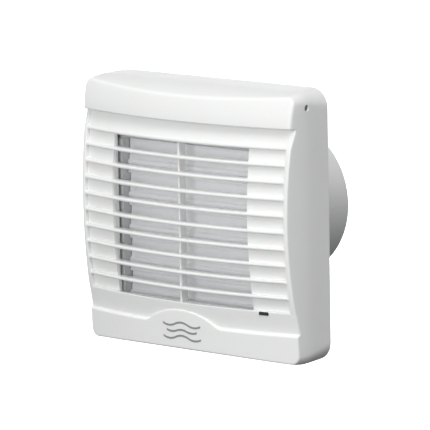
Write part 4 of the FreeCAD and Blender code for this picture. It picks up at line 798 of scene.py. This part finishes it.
def window_collar():
    """The wall round the window, running back from the grille field to just before the shutter's frame."""
    left, right, foot, top = WINDOW_LEFT, COLLAR_RIGHT, COLLAR_FOOT, COLLAR_TOP
    corners = [(left, foot), (right, foot), (right, top), (left, top)]
    centre = Vector(((left + right) / 2, (foot + top) / 2))
    grow = (1 + 2 * COLLAR_THICK / (right - left), 1 + 2 * COLLAR_THICK / (top - foot))
    sections = []
    for start, end in zip(corners, corners[1:] + corners[:1]):
        for share in spread(0, 1, 13)[:-1]:
            inner = Vector(start).lerp(Vector(end), share)
            outer = Vector(middle + (at - middle) * more for middle, at, more in zip(centre, inner, grow))
            section = []
            for place, depth in ((inner, None), (inner, COLLAR_BACK), (outer, COLLAR_BACK), (outer, None)):
                if depth is None:
                    depth = crown(place.y) - FIELD_DEEP - bow_drop(place.x) - COLLAR_BITE
                section.append((place.x, -depth, place.y))
            sections.append(section)
    points = [point for section in sections for point in section]
    faces = quads(len(sections), len(sections[0]), closed_rows=True, closed_columns=True)
    piece_from("window_collar", points, faces, "cover_plastic", "cover")


def arch_top(x):
    """Height of the badge's arched edge: a crown between two flares that run out along the step."""
    shoulder, shoulder_z, foot, crown_round = 22.4, -60.9, -64.6, 46.0
    flat = abs(x)
    fall = math.sqrt(crown_round ** 2 - shoulder ** 2)
    if flat <= shoulder:
        return shoulder_z + math.sqrt(crown_round ** 2 - x * x) - fall
    share = (flat - shoulder) / (BADGE_HALF - shoulder)
    slope = -shoulder / fall * (BADGE_HALF - shoulder)
    drop = foot - shoulder_z
    run_out = slope * (share - 2 * share ** 2 + share ** 3)
    return shoulder_z + run_out + drop * (3 * share ** 2 - 2 * share ** 3)


def badge():
    """The arched pad over the step, with a rolled edge."""
    columns = spread(-BADGE_HALF, BADGE_HALF, 61)
    foot = CHIN_TOP - 2
    rows = []
    for share in spread(0, 1, 9):
        rows.append([(x, share * (arch_top(x) - BADGE_SOFT) + (1 - share) * foot, 0.0) for x in columns])
    for angle in spread(15, 90, 6):
        turn = math.radians(angle)
        rise, fall = BADGE_SOFT * math.sin(turn), BADGE_SOFT - BADGE_SOFT * math.cos(turn)
        rows.append([(x, arch_top(x) - BADGE_SOFT + rise, fall) for x in columns])
    rows.append([(x, arch_top(x), BADGE_SUNK) for x in columns])
    points = [(x, bow_drop(x) - chin(z) - BADGE_PROUD + fall, z) for row in rows for x, z, fall in row]
    faces = quads(len(rows), len(columns))
    piece_from("badge_pad", points, faces, "cover_plastic", "cover", sharp=50)


def inset_ends(left, right, inset):
    """Places along X and how far the section shrinks there, for a bar with softened ends."""
    return (left, inset), (left + inset, 0), (right - inset, 0), (right, inset)


def indicator_lens():
    """A dark tinted block with softened edges, set in the ledge and bowed with it."""
    low, high = node_box("indicator_lens")
    foot, top = low.z + LENS_TALL[0], high.z - LENS_TALL[1]
    middle = (foot + top) / 2
    front = crown(LEDGE_Z) + LENS_PROUD
    back = front - LENS_DEEP
    outline = softened_loop([
        (front, top, LENS_SOFT), (back, top, 0), (back, foot, 0), (front, foot, LENS_SOFT),
    ])
    sections = []
    for x, inset in inset_ends(low.x - LENS_IN[0], high.x - LENS_IN[1], LENS_END):
        shrunk = 1 - 2 * inset / (top - foot)
        sections.append([(x, bow_drop(x) - depth + inset, middle + (z - middle) * shrunk)
                         for depth, z in outline])
    points, faces = tube_along(sections)
    piece_from("indicator_block", points, faces, "lens_black", "cover", ["indicator_lens"])


def cover():
    cover_shell()
    indicator_lens()
    for number in range(BAR_COUNT):
        cover_bar(number)
    cover_rib()
    window_collar()
    badge()


# ---- shutter ----

BLADES = 5
BLADE_HALF, BLADE_THICK, BLADE_UP, BLADE_DOWN = 53.0, 0.75, 14.8, 7.0
BLADE_TILT = math.radians(-5.5)
BLADE_END = 0.25                    # how far a blade's ends are softened
BEAD, BEAD_FLAT, BEAD_FOOT = 2.0, 1.0, 2.3
LIP, LIP_LOW, LIP_HIGH = 0.5, 1.3, 1.9
AXLE, AXLE_END = 1.5, 0.2


def blade_outline():
    """A blade's section as (y, z) from its axle: a thin plate, a bead at the axle and a lip at the foot."""
    lip = -BLADE_THICK - LIP
    front = [
        (-BLADE_THICK, BLADE_UP, 0.5), (-BLADE_THICK, BEAD_FOOT, 1.2), (-BEAD, BEAD_FLAT, 0.8),
        (-BEAD, -BEAD_FLAT, 0.8), (-BLADE_THICK, -BEAD_FOOT, 1.2),
        (-BLADE_THICK, -BLADE_DOWN + LIP_HIGH, 0.4), (lip, -BLADE_DOWN + LIP_LOW, 0.4),
        (lip, -BLADE_DOWN, 0.35),
    ]
    back = [
        (BLADE_THICK, -BLADE_DOWN, 0.6), (BLADE_THICK, -BEAD_FOOT, 1.2), (BEAD, -BEAD_FLAT, 0.8),
        (BEAD, BEAD_FLAT, 0.8), (BLADE_THICK, BEAD_FOOT, 1.2), (BLADE_THICK, BLADE_UP, 0.5),
    ]
    return softened_loop(front + back)


def shutter_blade(number):
    """A louvre blade with rounded edges, a bead along its axle and a turned lip at its foot."""
    name = f"shutter_blade_{number + 1}"
    joint = next(entry for entry in frame["joints"] if entry["name"] == f"blade_{number + 1}_hinge")
    pivot = Vector(joint["pos_m"]) / MM
    cosine, sine = math.cos(BLADE_TILT), math.sin(BLADE_TILT)
    sections = []
    for x, inset in inset_ends(-BLADE_HALF, BLADE_HALF, BLADE_END):
        section = []
        for y, z in blade_outline():
            y, z = y * (1 - inset / 2), z - math.copysign(inset, z)
            section.append((x, pivot.y + (y * cosine - z * sine), pivot.z + (y * sine + z * cosine)))
        sections.append(section)
    points, faces = tube_along(sections)
    low, high = node_box(name)
    for first, last in ((low.x, -BLADE_HALF), (BLADE_HALF, high.x)):
        ring_points, ring_faces = axle(first, last, pivot)
        faces += [tuple(corner + len(points) for corner in face) for face in ring_faces]
        points += ring_points
    piece_from(name + "_vane", points, faces, "blade_plastic", f"blade_{number + 1}", [name])


def axle(first, last, pivot):
    """A round stub along X with softened ends."""
    return tube_along([ring(x, AXLE - inset, pivot.y, pivot.z, 24)
                       for x, inset in inset_ends(first, last, AXLE_END)])


# ---- stage, light, camera ----

FLOOR_SIZE, FLOOR_DROP = 14.0, 0.75
FLOOR_PAINT = (0.93, 0.93, 0.93, 1)


def make_floor():
    """A plain pale floor, far enough down that the object's shadow stays out of the picture."""
    mesh = bpy.data.meshes.new("floor")
    work = bmesh.new()
    bmesh.ops.create_grid(work, x_segments=2, y_segments=2, size=FLOOR_SIZE)
    work.to_mesh(mesh)
    work.free()
    floor = placed("floor", mesh)
    floor.location.z = cad_low.z - FLOOR_DROP
    material = bpy.data.materials.new("floor_paint")
    material.use_nodes = True
    shader = material.node_tree.nodes["Principled BSDF"]
    shader.inputs["Base Color"].default_value = FLOOR_PAINT
    shader.inputs["Roughness"].default_value = 0.9
    mesh.materials.append(material)
    floor.visible_diffuse = False
    floor.visible_glossy = False


SKY_LOW, SKY_LOW_AT = (0.12, 0.122, 0.126), 0.3
SKY_HIGH, SKY_HIGH_AT = (0.54, 0.545, 0.55), 0.75
SKY_TOWARDS = (-0.35, -0.35, 0.87)  # where the sky is brightest
KEY_SIDE, KEY_HEIGHT, KEY_POWER = 48, 52, 22
KEY_FAR, KEY_WIDE = 2.2, 1.3
FILL_SIDE, FILL_HEIGHT, FILL_POWER = 14, 10, 20
FILL_FAR, FILL_WIDE = 2.4, 1.0
BACKGROUND_POWER, BACKGROUND_SIZE = 420, (9.0, 6.0)
BACKGROUND_AT = (-2.2, 5.4, 0.62)
VIEW_SIDE, VIEW_HEIGHT, VIEW_ROLL = 39.18, 10.09, -1.035
VIEW_OFFSET = (4.23, -1.78, 2664.0)     # how far the camera is moved aside and up, and how far away it is
SENSOR, LENS = 36.0, 356.9


def direction(azimuth, elevation):
    """Unit vector from the object towards an azimuth and elevation in radians."""
    level = math.cos(elevation)
    return Vector((math.sin(azimuth) * level, -math.cos(azimuth) * level, math.sin(elevation)))


def area_light(name, size, power):
    light = bpy.data.lights.new(name, "AREA")
    light.shape = "RECTANGLE"
    light.size, light.size_y = size
    light.energy = power
    return placed(name, light)


def softbox(name, azimuth, elevation, distance, size, power):
    """A square light looking at the object from a direction given like a camera's."""
    towards = direction(math.radians(azimuth), math.radians(elevation))
    lamp = area_light(name, (size, size), power)
    lamp.location = towards * distance
    lamp.rotation_mode = "QUATERNION"
    lamp.rotation_quaternion = towards.to_track_quat("Z", "Y")


def make_light():
    """A soft sky, a key from the upper right, a weak fill, and a wide light that whitens the far floor."""
    world = bpy.data.worlds.new("studio")
    scene.world = world
    world.use_nodes = True
    tree = world.node_tree
    place = tree.nodes.new("ShaderNodeTexCoord")
    towards = tree.nodes.new("ShaderNodeVectorMath")
    towards.operation = "DOT_PRODUCT"
    towards.inputs[1].default_value = SKY_TOWARDS
    lift = tree.nodes.new("ShaderNodeMapRange")
    lift.inputs["From Min"].default_value = -1.0
    ramp = tree.nodes.new("ShaderNodeValToRGB")
    for stop, colour, at in zip(ramp.color_ramp.elements, (SKY_LOW, SKY_HIGH), (SKY_LOW_AT, SKY_HIGH_AT)):
        stop.position = at
        stop.color = (*colour, 1)
    tree.links.new(place.outputs["Generated"], towards.inputs[0])
    tree.links.new(towards.outputs["Value"], lift.inputs["Value"])
    tree.links.new(lift.outputs["Result"], ramp.inputs["Fac"])
    tree.links.new(ramp.outputs["Color"], tree.nodes["Background"].inputs["Color"])
    softbox("key", KEY_SIDE, KEY_HEIGHT, KEY_FAR, KEY_WIDE, KEY_POWER)
    softbox("fill", FILL_SIDE, FILL_HEIGHT, FILL_FAR, FILL_WIDE, FILL_POWER)
    area_light("background", BACKGROUND_SIZE, BACKGROUND_POWER).location = BACKGROUND_AT


def make_camera():
    """The photograph's own view: a long lens, to the right and a little above."""
    azimuth, elevation, roll = (math.radians(angle) for angle in (VIEW_SIDE, VIEW_HEIGHT, VIEW_ROLL))
    offset = Vector(VIEW_OFFSET) * MM
    back = direction(azimuth, elevation)
    right = Vector((math.cos(azimuth), math.sin(azimuth), 0))
    up = back.cross(right)
    rolled_right = right * math.cos(roll) + up * math.sin(roll)
    rolled_up = up * math.cos(roll) - right * math.sin(roll)
    camera = bpy.data.cameras.new("camera")
    camera.sensor_width = SENSOR
    camera.lens = LENS
    camera.clip_start, camera.clip_end = 0.1, 100
    view = placed("camera", camera)
    turn = Matrix((rolled_right, rolled_up, back)).transposed()
    place = back * offset.z - rolled_right * offset.x + rolled_up * offset.y
    view.matrix_world = Matrix.Translation(place) @ turn.to_4x4()
    scene.camera = view


make_camera()
make_floor()
make_light()
dress_cad_nodes()
cover()
for blade in range(BLADES):
    shutter_blade(blade)
